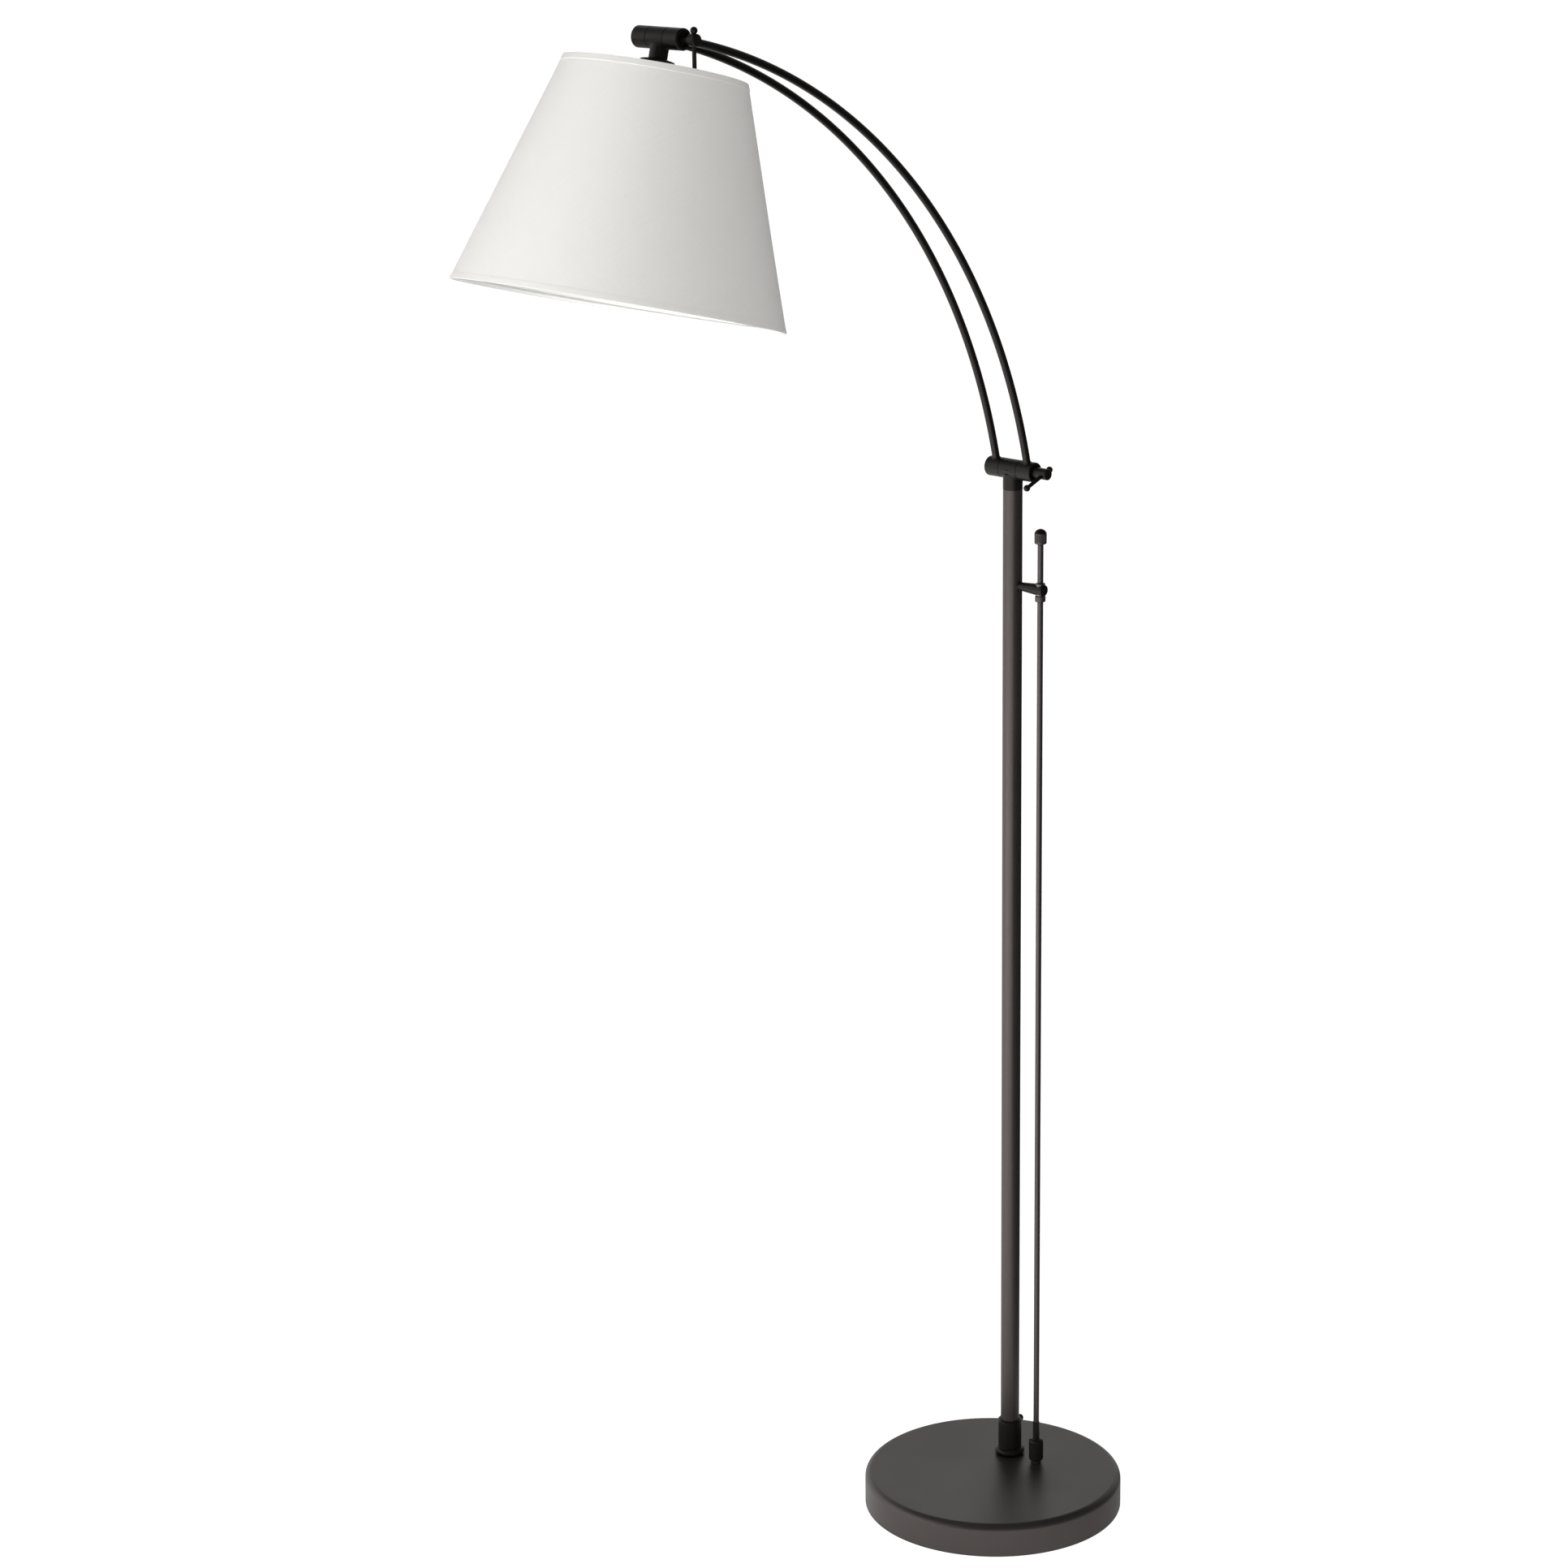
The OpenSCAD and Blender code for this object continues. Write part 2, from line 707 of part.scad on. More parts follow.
module shoulder_tee() {
    color(bronze) difference() {
        union() {
            at_shoulder() barrel_middle(shoulder_mid_len);
            at_pole() translate([0, 0, pole_top_z])
                cylinder(r = pole_r + 0.15, h = tee_collar - clamp_r - 2);
            at_pole() translate([0, 0, pole_top_z - spigot_h])
                cylinder(r = pole_inside_r - pole_fit, h = spigot_h + eps);
        }
        at_pole() translate([0, 0, pole_top_z - spigot_h - eps])
            cylinder(r = tee_wire_r, h = spigot_h + tee_collar - clamp_r - 3);
        at_shoulder() translate([0, 0, -shoulder_mid_len / 2 - eps])
            cylinder(r = clamp_r + run_clear, h = shoulder_mid_len + 2 * eps);
    }
}

// Outer hub from start outwards; bore_dir is the direction of the arm tube's bore
module hub(start, recess, bore_dir) {
    difference() {
        translate([0, 0, start]) chamfered(barrel_r, hub_len, barrel_chamfer);
        translate([0, 0, start - eps])
            cylinder(r = clamp_r + run_clear, h = hub_len);
        translate([0, 0, start + hub_len - recess])
            cylinder(r = recess_r, h = recess + eps);
        translate([0, 0, arm_gap / 2]) rotate(bore_dir) rotate([0, 90, 0])
            translate([0, 0, arm_seat])
                cylinder(r = arm_tube_r + arm_fit, h = barrel_r);
    }
}

module near_shoulder_hub() {
    color(bronze) at_shoulder() hub(shoulder_hub_start, near_recess, shoulder_bore_dir);
}

module far_shoulder_hub() {
    color(bronze) at_shoulder() mirror([0, 0, 1])
        hub(shoulder_hub_start, far_recess, shoulder_bore_dir);
}

module near_head_hub() {
    color(bronze) at_head_barrel() hub(head_hub_start, near_recess, head_bore_dir);
}

module far_head_hub() {
    color(bronze) at_head_barrel() mirror([0, 0, 1])
        hub(head_hub_start, far_recess, head_bore_dir);
}

// Stretch of the arm's arc, trimmed by the same angle at both ends
module arc_sweep(trim, side) {
    translate([arc_x, pole_y - side * arm_gap / 2, arc_z]) rotate([90, 0, 0])
        rotate(shoulder_angle + trim)
            rotate_extrude(angle = sweep - 2 * trim)
                translate([arm_arc_r, 0]) children();
}

module arm_tube(side) {
    color(bronze) arc_sweep(seat_angle, side) difference() {
        circle(arm_tube_r);
        circle(arm_bore_r);
    }
}

module near_arm_tube() {
    arm_tube(1);
}

module far_arm_tube() {
    arm_tube(-1);
}

// Mains lead inside the far arm tube
module arm_lead() {
    color(black_plastic) arc_sweep(1.5 * seat_angle, -1) circle(arm_lead_r);
}

// Two thin washers, one at each end of a barrel's middle section
module washer_pair(len) {
    for (side = [0, 1]) mirror([0, 0, side])
        translate([0, 0, len / 2 + washer_gap])
            tube(washer_outer_r, clamp_r + 0.5, washer_t);
}

module friction_washers() {
    color(black_plastic) {
        at_shoulder() washer_pair(shoulder_mid_len);
        at_head_barrel() washer_pair(head_mid_len);
    }
}

module clamp_nut(start) {
    translate([0, 0, -start - hub_len + end_plug_t])
        tube(recess_r - 0.05, clamp_r + run_clear, clamp_nut_t);
}

module clamp_nuts() {
    color(steel) {
        at_shoulder() clamp_nut(shoulder_hub_start);
        at_head_barrel() clamp_nut(head_hub_start);
    }
}

module end_plug(start) {
    translate([0, 0, -start - hub_len]) cylinder(r = recess_r - 0.05, h = end_plug_t);
}

module barrel_end_plugs() {
    color(bronze) {
        at_shoulder() end_plug(shoulder_hub_start);
        at_head_barrel() end_plug(head_hub_start);
    }
}

// Threaded shank from the captive nut to the floor of the handle-side recess
module clamp_shank(start) {
    far_end = -start - hub_len + end_plug_t + 0.2;
    near_end = start + hub_len - near_recess;
    translate([0, 0, far_end]) cylinder(r = clamp_r, h = near_end - far_end + 0.1);
}

// Boss with its cross hole; z is measured from its inner end
module clamp_boss(len, inset, dir) {
    difference() {
        chamfered(boss_r, len, 0.8);
        translate([0, 0, len - inset]) rotate(dir) rotate([0, 90, 0])
            translate([0, 0, -boss_r - 1]) cylinder(r = bar_hole_r, h = 2 * boss_r + 2);
    }
}

// Bar with a ball on each end: X points to the short side that the ball stops on
module tee_bar() {
    translate([bar_short - bar_span, 0, 0]) rotate([0, 90, 0]) rotate_extrude() {
        square([bar_r, bar_span]);
        for (end = [0, bar_span]) intersection() {
            translate([0, end]) circle(ball_r);
            translate([0, end - ball_r]) square([ball_r, 2 * ball_r]);
        }
    }
}

module shoulder_clamp_screw() {
    color(bronze) at_shoulder() {
        clamp_shank(shoulder_hub_start);
        translate([0, 0, shoulder_boss_start])
            clamp_boss(shoulder_boss_end - shoulder_boss_start, shoulder_bar_inset,
                shoulder_bar_angle);
    }
}

module head_clamp_screw() {
    neck_start = head_hub_start + hub_len - near_recess + 0.1;
    color(bronze) at_head_barrel() {
        clamp_shank(head_hub_start);
        translate([0, 0, neck_start])
            cylinder(r = head_neck_d / 2, h = head_boss_start - neck_start + eps);
        translate([0, 0, head_boss_start]) clamp_boss(head_boss_len, head_bar_inset, 90);
    }
}

module shoulder_tee_bar() {
    color(bronze) at_shoulder() translate([0, 0, shoulder_bar_s])
        rotate(shoulder_bar_angle) tee_bar();
}

module head_tee_bar() {
    color(bronze) at_head_barrel() translate([0, 0, head_bar_s]) rotate(90) tee_bar();
}

// ------------------------------------------------------------- lamp head

module head_tee() {
    color(bronze) difference() {
        union() {
            at_head_barrel() barrel_middle(head_mid_len);
            at_shade() translate([0, 0, -stem_len])
                cylinder(r = stem_d / 2, h = stem_len - clamp_r - 2);
        }
        at_shade() translate([0, 0, -stem_len - eps])
            cylinder(r = nipple_r, h = stem_len - stem_bore_depth);
        at_head_barrel() translate([0, 0, -head_mid_len / 2 - eps])
            cylinder(r = clamp_r + run_clear, h = head_mid_len + 2 * eps);
    }
}

module shade_disc() {
    color(bronze) at_shade() translate([0, 0, -disc_bottom]) difference() {
        chamfered(disc_d / 2, disc_t, 1);
        translate([0, 0, -eps]) cylinder(r = nipple_r, h = disc_t + 2 * eps);
    }
}

module holder_nipple() {
    top = stem_bore_depth + 1;
    bottom = cap_bottom + nipple_reach;
    color(brass) at_shade() translate([0, 0, -bottom])
        tube(nipple_r, nipple_bore_r, bottom - top);
}

module head_lead() {
    top = stem_bore_depth + 2;
    color(black_plastic) at_shade() translate([0, 0, -cap_bottom - nipple_reach])
        cylinder(r = lead_r, h = cap_bottom + nipple_reach - top);
}

module holder_cap() {
    cap_wall = 1.2;
    cap_top_r = 13;
    color(dark_bronze) at_shade() difference() {
        translate([0, 0, -cap_bottom])
            cylinder(r1 = holder_r, r2 = cap_top_r, h = holder_cap_h);
        translate([0, 0, -cap_bottom - eps])
            cylinder(r1 = holder_r - cap_wall, r2 = cap_top_r - cap_wall,
                h = holder_cap_h - cap_wall);
        translate([0, 0, -cap_bottom]) cylinder(r = nipple_r, h = holder_cap_h + eps);
    }
}

module holder_skirt() {
    inner_r = shell_r + shell_wall;
    color(black_plastic) at_shade() difference() {
        union() {
            translate([0, 0, -cap_bottom - holder_h])
                cylinder(r = holder_r, h = holder_h);
            translate([0, 0, -cap_bottom - holder_lip_t])
                cylinder(r = holder_lip_r, h = holder_lip_t);
        }
        translate([0, 0, -cap_bottom - holder_h - eps])
            cylinder(r = inner_r, h = holder_h - contact_depth + eps);
        translate([0, 0, -cap_bottom - nipple_reach])
            cylinder(r = nipple_r, h = nipple_reach + eps);
    }
}

module holder_screw_shell() {
    color(brass) at_shade()
        translate([0, 0, -cap_bottom - contact_depth - contact_t - shell_h])
            tube(shell_r + shell_wall, shell_r, shell_h);
}

module holder_contact() {
    color(brass) at_shade() translate([0, 0, -cap_bottom - contact_depth - contact_t])
        cylinder(r = 5, h = contact_t);
}

module shade_ring_nut() {
    color(black_plastic) at_shade()
        translate([0, 0, -spider_z - spider_t - ring_nut_t])
            tube(holder_r + ring_nut_w, holder_r, ring_nut_t);
}

module bulb_cap() {
    tip_h = 3;
    color(steel) at_shade() {
        translate([0, 0, -bulb_seat])
            cylinder(r = bulb_cap_d / 2, h = bulb_cap_h - tip_h);
        translate([0, 0, -bulb_cap_top - tip_h - eps])
            cylinder(r1 = bulb_cap_d / 2 - 3, r2 = 4.5, h = tip_h);
    }
}

// Globe and the cone that runs from it up to the neck, drawn inset by t and
// continued past the neck by over
module bulb_form(t, over) {
    centre = bulb_len - bulb_r;
    translate([0, 0, -centre]) sphere(r = bulb_r - t);
    translate([0, 0, -bulb_cone_h])
        cylinder(r1 = bulb_cone_r - t, r2 = bulb_neck_r - t, h = bulb_cone_h + over);
}

module bulb_glass() {
    color(milk) at_shade() translate([0, 0, -bulb_seat]) difference() {
        bulb_form(0, 0);
        bulb_form(glass_t, 1);
    }
}

// ------------------------------------------------------------------ shade

module shade_spider() {
    inner_r = holder_r + spider_gap;
    outer_r = inner_r + spider_w;
    mid_z = spider_z + spider_t / 2;
    rim_r = shade_r_at(top_ring_z) - ring_inset;
    spoke_in = outer_r - spider_w / 2;
    rise = mid_z - top_ring_z;
    run = rim_r - spoke_in;
    spoke_l = norm([run, rise]);
    color(steel) at_shade() {
        translate([0, 0, -spider_z - spider_t]) tube(outer_r, inner_r, spider_t);
        for (i = [0 : spoke_count - 1])
            rotate(spoke_start + i * 360 / spoke_count)
                translate([spoke_in, 0, -mid_z])
                    rotate([0, 90 - atan2(rise, run), 0])
                        translate([0, 0, 1]) cylinder(r = ring_r - 0.4,
                            h = spoke_l - ring_r - 1.02);
    }
}

module shade_top_ring() {
    color(steel) at_shade() wire_ring(top_ring_z);
}

module shade_bottom_ring() {
    color(steel) at_shade() wire_ring(bottom_ring_z);
}

module shade_fabric() {
    color(linen) at_shade() cone_band(shade_drop, shade_bottom, 0, fabric_t);
}

module shade_liner() {
    color(milk) at_shade() cone_band(shade_drop, shade_bottom, fabric_t, liner_t);
}

// Folded tape over one edge of the shade, outside only
module edge_trim(top, bottom) {
    color(linen) at_shade() cone_band(top, bottom, -trim_t, trim_t);
}

module shade_top_trim() {
    edge_trim(shade_drop, shade_drop + trim_h);
}

module shade_bottom_trim() {
    edge_trim(shade_bottom - trim_h, shade_bottom);
}

// ------------------------------------------------------------------ nodes

base_cover();
base_weight();
base_pad();
cord_grommet();
pole_socket();
socket_nipple();
nipple_washer();
nipple_nut();
pole_tube();
pole_lead();
shoulder_tee();
dimmer_body();
dimmer_nut();
switch_bracket();
bracket_bush();
bracket_end_plug();
pole_set_screw();
dimmer_shaft();
rod_coupler();
switch_rod();
rod_collar();
rod_knob();
near_arm_tube();
far_arm_tube();
arm_lead();
near_shoulder_hub();
far_shoulder_hub();
near_head_hub();
far_head_hub();
friction_washers();
clamp_nuts();
barrel_end_plugs();
shoulder_clamp_screw();
shoulder_tee_bar();
head_clamp_screw();
head_tee_bar();
head_tee();
shade_disc();
holder_nipple();
head_lead();
holder_cap();
holder_skirt();
holder_screw_shell();
holder_contact();
shade_ring_nut();
bulb_cap();
bulb_glass();
shade_spider();
shade_top_ring();
shade_bottom_ring();
shade_fabric();
shade_liner();
shade_top_trim();
shade_bottom_trim();
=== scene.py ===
"""Looks of an arc floor lamp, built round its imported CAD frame.

A round weighted base carries a slim pole with a switch rod beside it. A clamped
shoulder holds two parallel arched tubes, and a second clamp holds the fabric shade.
Outlines are in millimetres in each piece's own frame; finished meshes are in metres.
"""

from __future__ import annotations

import json
import logging
import math
from collections.abc import Callable, Sequence
from dataclasses import dataclass, field
from enum import Enum
from typing import Any

import bmesh
import bpy
from mathutils import Matrix, Vector

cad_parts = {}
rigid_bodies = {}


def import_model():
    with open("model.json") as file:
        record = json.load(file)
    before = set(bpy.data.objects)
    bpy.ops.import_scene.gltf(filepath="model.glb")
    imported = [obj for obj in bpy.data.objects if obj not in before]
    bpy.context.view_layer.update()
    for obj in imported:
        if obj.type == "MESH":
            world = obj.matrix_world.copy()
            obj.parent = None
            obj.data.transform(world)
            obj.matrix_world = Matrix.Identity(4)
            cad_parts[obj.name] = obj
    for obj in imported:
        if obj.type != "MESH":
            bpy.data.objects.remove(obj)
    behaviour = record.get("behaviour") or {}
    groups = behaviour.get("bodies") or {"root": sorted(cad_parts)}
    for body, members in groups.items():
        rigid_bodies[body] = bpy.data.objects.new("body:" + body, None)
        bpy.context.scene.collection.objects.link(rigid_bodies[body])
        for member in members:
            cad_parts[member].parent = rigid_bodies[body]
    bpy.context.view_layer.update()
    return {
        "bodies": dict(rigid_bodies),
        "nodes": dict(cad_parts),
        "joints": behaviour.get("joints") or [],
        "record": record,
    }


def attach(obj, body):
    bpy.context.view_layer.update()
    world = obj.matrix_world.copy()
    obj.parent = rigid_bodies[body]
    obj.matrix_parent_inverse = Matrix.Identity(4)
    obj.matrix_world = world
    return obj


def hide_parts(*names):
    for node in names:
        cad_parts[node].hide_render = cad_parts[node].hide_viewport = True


LOG = logging.getLogger("arc_lamp")
MM = 0.001

Mesh = bmesh.types.BMesh
Outline = list[tuple[float, float]]
Colour = tuple[float, float, float]
Place = tuple[float, float, float]

NOISE_MIDDLE = (0.3, 0.7)  # most values of a noise lie between these
BLACK: Colour = (0.0, 0.0, 0.0)
WHITE: Colour = (1.0, 1.0, 1.0)
DUST: Colour = (0.4, 0.38, 0.35)
# Near-black colour of the painted shade in seams and corners, and how far its occlusion
# looks.
PAINTED_SHADE_COLOUR: Colour = (0.006, 0.006, 0.006)
PAINTED_SHADE_REACH = 0.004


class Body(Enum):
    """The moving bodies of the frame."""

    STAND = "stand"
    SET_SCREW = "set_screw"
    SWITCH = "switch"
    ARM = "arm"
    SHOULDER_CLAMP = "shoulder_clamp"
    SHOULDER_BAR = "shoulder_bar"
    HEAD_CLAMP = "head_clamp"
    HEAD_BAR = "head_bar"
    HEAD = "head"


class Slot(Enum):
    """The record's material slots, one finish each."""

    BRONZE = "bronze"
    DARK_BRONZE = "dark_bronze"
    STEEL = "steel"
    WHITE_WIRE = "white_wire"
    BRASS = "brass"
    CAP_METAL = "cap_metal"
    CAST_IRON = "cast_iron"
    FELT = "felt"
    BLACK_PLASTIC = "black_plastic"
    LEAD_JACKET = "lead_jacket"
    LINEN = "linen"
    LINER = "liner"
    OPAL_GLASS = "opal_glass"


class Side(Enum):
    """The two sides of a barrel: NEAR carries the handle."""

    NEAR = 1
    FAR = -1


# ------------------------------------------------------------ node trees


class Graph:
    """Adds nodes to one node tree and joins them.

    Args:
        tree: The node tree to work in.
    """

    def __init__(self, tree: bpy.types.NodeTree) -> None:
        """Keeps the tree."""
        self.tree = tree

    def node(self, kind: str, **settings: Any) -> bpy.types.Node:
        """Adds a node and sets its properties.

        Args:
            kind: Blender's name of the node type.
            settings: Properties of the node.

        Returns:
            The new node.
        """
        made = self.tree.nodes.new(kind)
        for name, value in settings.items():
            setattr(made, name, value)
        return made

    def feed(self, target: bpy.types.NodeSocket, source: Any) -> None:
        """Links a socket to an input, or sets the input to a number or colour.

        Args:
            target: The input to feed.
            source: A socket, or a number or colour.
        """
        if isinstance(source, bpy.types.NodeSocket):
            self.tree.links.new(source, target)
        else:
            target.default_value = source

    def math(
        self, operation: str, first: Any, second: Any = 0.0
    ) -> bpy.types.NodeSocket:
        """Adds a Math node.

        Args:
            operation: The node's operation.
            first: Socket or number for the first input.
            second: Socket or number for the second input.

        Returns:
            The node's output.
        """
        made = self.node("ShaderNodeMath", operation=operation)
        self.feed(made.inputs[0], first)
        self.feed(made.inputs[1], second)
        return made.outputs[0]

    def span(
        self, value: Any, low: float, high: float, start: Any, end: Any
    ) -> bpy.types.NodeSocket:
        """Maps low..high of a value to start..end, held at both ends.

        Args:
            value: Socket or number to map.
            low: Value that gives start.
            high: Value that gives end.
            start: Result at low and below.
            end: Result at high and above.

        Returns:
            The mapped value.
        """
        made = self.node("ShaderNodeMapRange")
        for index, source in enumerate((value, low, high, start, end)):
            self.feed(made.inputs[index], source)
        return made.outputs[0]

    def blend(self, factor: Any, first: Any, second: Any) -> bpy.types.NodeSocket:
        """Mixes two colours and returns the mixed colour.

        Args:
            factor: Share of the second colour, 0 to 1.
            first: Socket or colour.
            second: Socket or colour.

        Returns:
            The mixed colour.
        """
        made = self.node("ShaderNodeMix", data_type="RGBA")
        self.feed(made.inputs[0], factor)
        for index, source in ((6, first), (7, second)):
            if isinstance(source, tuple):
                source = (*source, 1.0)
            self.feed(made.inputs[index], source)
        return made.outputs[2]

    def choose(self, factor: Any, first: Any, second: Any) -> bpy.types.NodeSocket:
        """Mixes two values and returns the mixed value.

        Args:
            factor: Share of the second value, 0 to 1.
            first: Socket or number.
            second: Socket or number.

        Returns:
            The mixed value.
        """
        made = self.node("ShaderNodeMix", data_type="FLOAT")
        for index, source in ((0, factor), (2, first), (3, second)):
            self.feed(made.inputs[index], source)
        return made.outputs[0]

    def split(self, vector: Any) -> Sequence[bpy.types.NodeSocket]:
        """Returns a vector's X, Y and Z.

        Args:
            vector: Socket with the vector.

        Returns:
            Its X, Y and Z.
        """
        parts = self.node("ShaderNodeSeparateXYZ")
        self.feed(parts.inputs[0], vector)
        return parts.outputs

    def noise(
        self,
        vector: Any,
        scale: Any,
        detail: float = 3.0,
        stretch: Place | None = None,
    ) -> bpy.types.NodeSocket:
        """Adds a noise texture.

        Args:
            vector: Socket with the coordinates.
            scale: Scale in cycles per metre.
            detail: Octaves of the noise.
            stretch: Scale along each axis, applied to the coordinates first.

        Returns:
            The noise value, about 0 to 1.
        """
        if stretch is not None:
            mapping = self.node("ShaderNodeMapping")
            self.feed(mapping.inputs["Vector"], vector)
            self.feed(mapping.inputs["Scale"], stretch)
            vector = mapping.outputs[0]
        made = self.node("ShaderNodeTexNoise")
        self.feed(made.inputs["Vector"], vector)
        self.feed(made.inputs["Scale"], scale)
        self.feed(made.inputs["Detail"], detail)
        return made.outputs[0]


def effect(
    name: str,
    inputs: dict[str, float],
    outputs: Sequence[str],
    fill: Callable[[Graph, dict[str, bpy.types.NodeSocket]], dict[str, Any]],
) -> bpy.types.NodeTree:
    """Builds a shared shader node group once.

    Args:
        name: Name of the group.
        inputs: Input names with their defaults.
        outputs: Output names, all of them values.
        fill: Adds the inner nodes and returns a socket for each output.

    Returns:
        The node group.
    """
    found = bpy.data.node_groups.get(name)
    if found is not None:
        return found
    tree = bpy.data.node_groups.new(name, "ShaderNodeTree")
    for label, value in inputs.items():
        socket = tree.interface.new_socket(
            name=label, in_out="INPUT", socket_type="NodeSocketFloat"
        )
        socket.default_value = value
    for label in outputs:
        tree.interface.new_socket(
            name=label, in_out="OUTPUT", socket_type="NodeSocketFloat"
        )
    graph = Graph(tree)
    entry = graph.node("NodeGroupInput")
    leave = graph.node("NodeGroupOutput")
    made = fill(graph, {label: entry.outputs[label] for label in inputs})
    for label, source in made.items():
        graph.feed(leave.inputs[label], source)
    return tree


def place(
    graph: Graph, tree: bpy.types.NodeTree, **values: Any
) -> dict[str, bpy.types.NodeSocket]:
    """Places a node group in a material with its own values.

    Args:
        graph: The material's graph.
        tree: The node group.
        values: Values or sockets for its inputs, by name with _ for a space.

    Returns:
        The group's outputs by name.
    """
    made = graph.node("ShaderNodeGroup", node_tree=tree)
    for name, value in values.items():
        graph.feed(made.inputs[name.replace("_", " ")], value)
    return {socket.name: socket for socket in made.outputs}


def fine_grain() -> bpy.types.NodeTree:
    """Returns the group for the orange-peel and the slow tone of a sprayed surface.

    Returns:
        The node group.
    """

    def fill(graph: Graph, given: dict[str, Any]) -> dict[str, Any]:
        """Adds two noises on object coordinates.

        Args:
            graph: The group's graph.
            given: The group's inputs by name.

        Returns:
            A socket for each of the group's outputs.
        """
        where = graph.node("ShaderNodeTexCoord").outputs["Object"]
        return {
            "Height": graph.noise(where, given["Scale"], 5.0),
            "Mottle": graph.noise(where, given["Patch scale"], 2.0),
        }

    return effect(
        "fine_grain", {"Scale": 900.0, "Patch scale": 14.0}, ("Height", "Mottle"), fill
    )


def edge_wear() -> bpy.types.NodeTree:
    """Returns the group for a mask of rubbed outer edges.

    Returns:
        The node group.
    """

    def fill(graph: Graph, given: dict[str, Any]) -> dict[str, Any]:
        """Breaks up the convex edges with noise.

        Args:
            graph: The group's graph.
            given: The group's inputs by name.

        Returns:
            A socket for each of the group's outputs.
        """
        edge = graph.node("ShaderNodeNewGeometry").outputs["Pointiness"]
        where = graph.node("ShaderNodeTexCoord").outputs["Object"]
        broken = graph.span(graph.noise(where, 160.0, 4.0), 0.35, 0.65, 0.15, 1.0)
        convex = graph.span(edge, 0.6, 0.72, 0.0, 1.0)
        rubbed = graph.math("MULTIPLY", convex, broken)
        return {"Mask": graph.math("MULTIPLY", rubbed, given["Amount"])}

    return effect("edge_wear", {"Amount": 0.5}, ("Mask",), fill)


def settled_dust() -> bpy.types.NodeTree:
    """Returns the group for a mask of thin dust on faces that look up.

    Returns:
        The node group.
    """

    def fill(graph: Graph, given: dict[str, Any]) -> dict[str, Any]:
        """Takes the object-space normal and thins it with noise.

        Args:
            graph: The group's graph.
            given: The group's inputs by name.

        Returns:
            A socket for each of the group's outputs.
        """
        coordinates = graph.node("ShaderNodeTexCoord")
        height = graph.split(coordinates.outputs["Normal"])[2]
        upward = graph.span(height, 0.55, 1.0, 0.0, 1.0)
        patchy = graph.span(
            graph.noise(coordinates.outputs["Object"], 28.0, 6.0), 0.3, 0.75, 0.35, 1.0
        )
        film = graph.math("MULTIPLY", upward, patchy)
        return {"Mask": graph.math("MULTIPLY", film, given["Amount"])}

    return effect("settled_dust", {"Amount": 0.1}, ("Mask",), fill)


def crease_shade() -> bpy.types.NodeTree:
    """Returns the group for a mask of painted shade in seams and inner corners.

    Returns:
        The node group.
    """

    def fill(graph: Graph, given: dict[str, Any]) -> dict[str, Any]:
        """Finds what lies close in front of the surface.

        Args:
            graph: The group's graph.
            given: The group's inputs by name.

        Returns:
            A socket for each of the group's outputs.
        """
        near = graph.node("ShaderNodeAmbientOcclusion", samples=6)
        graph.feed(near.inputs["Distance"], given["Reach"])
        # Painted shade: the more nearby surfaces hem a point in, the stronger the mask.
        closed = graph.span(near.outputs["AO"], 0.35, 0.9, 1.0, 0.0)
        return {"Mask": graph.math("MULTIPLY", closed, given["Amount"])}

    inputs = {"Reach": PAINTED_SHADE_REACH, "Amount": 0.8}
    return effect("crease_shade", inputs, ("Mask",), fill)


def brush_lines() -> bpy.types.NodeTree:
    """Returns the group for fine lines that run round a turned or drawn part.

    Returns:
        The node group.
    """

    def fill(graph: Graph, given: dict[str, Any]) -> dict[str, Any]:
        """Stretches a noise along the part's height.

        Args:
            graph: The group's graph.
            given: The group's inputs by name.

        Returns:
            A socket for each of the group's outputs.
        """
        where = graph.node("ShaderNodeTexCoord").outputs["Object"]
        lines = graph.noise(where, given["Scale"], 4.0, stretch=(0.05, 0.05, 1.0))
        return {"Height": lines}

    return effect("brush_lines", {"Scale": 2600.0}, ("Height",), fill)


def plain_weave() -> bpy.types.NodeTree:
    """Returns the group for a plain weave that follows the cut cloth's own UV map.

    Returns:
        The node group.
    """

    def fill(graph: Graph, given: dict[str, Any]) -> dict[str, Any]:
        """Crosses two sets of threads and thickens some of them.

        Args:
            graph: The group's graph.
            given: The group's inputs by name.

        Returns:
            A socket for each of the group's outputs.
        """
        where = graph.node("ShaderNodeUVMap", uv_map="cloth").outputs[0]
        along = graph.split(where)
        turns = graph.math("MULTIPLY", given["Threads per metre"], math.pi)
        waves = [
            graph.math("SINE", graph.math("MULTIPLY", along[axis], turns))
            for axis in (0, 1)
        ]
        ridges = [
            graph.math("POWER", graph.math("ABSOLUTE", wave), 0.6) for wave in waves
        ]
        crossing = graph.math("MULTIPLY", waves[0], waves[1])
        over = graph.span(crossing, -0.2, 0.2, 0.0, 1.0)
        woven = graph.choose(over, *ridges)
        slubs = [
            graph.span(graph.noise(where, 1.0, 4.0, stretch), 0.42, 0.72, 0.0, 1.0)
            for stretch in ((22.0, 900.0, 1.0), (900.0, 16.0, 1.0))
        ]
        thick = graph.math("ADD", slubs[0], graph.math("MULTIPLY", slubs[1], 0.6))
        slub = graph.math("MULTIPLY", thick, given["Slub"])
        return {
            "Height": graph.math("ADD", woven, slub),
            "Tone": graph.math("MULTIPLY", thick, 0.6),
        }

    return effect(
        "plain_weave",
        {"Threads per metre": 1500.0, "Slub": 0.8},
        ("Height", "Tone"),
        fill,
    )


# --------------------------------------------------------------- finishes


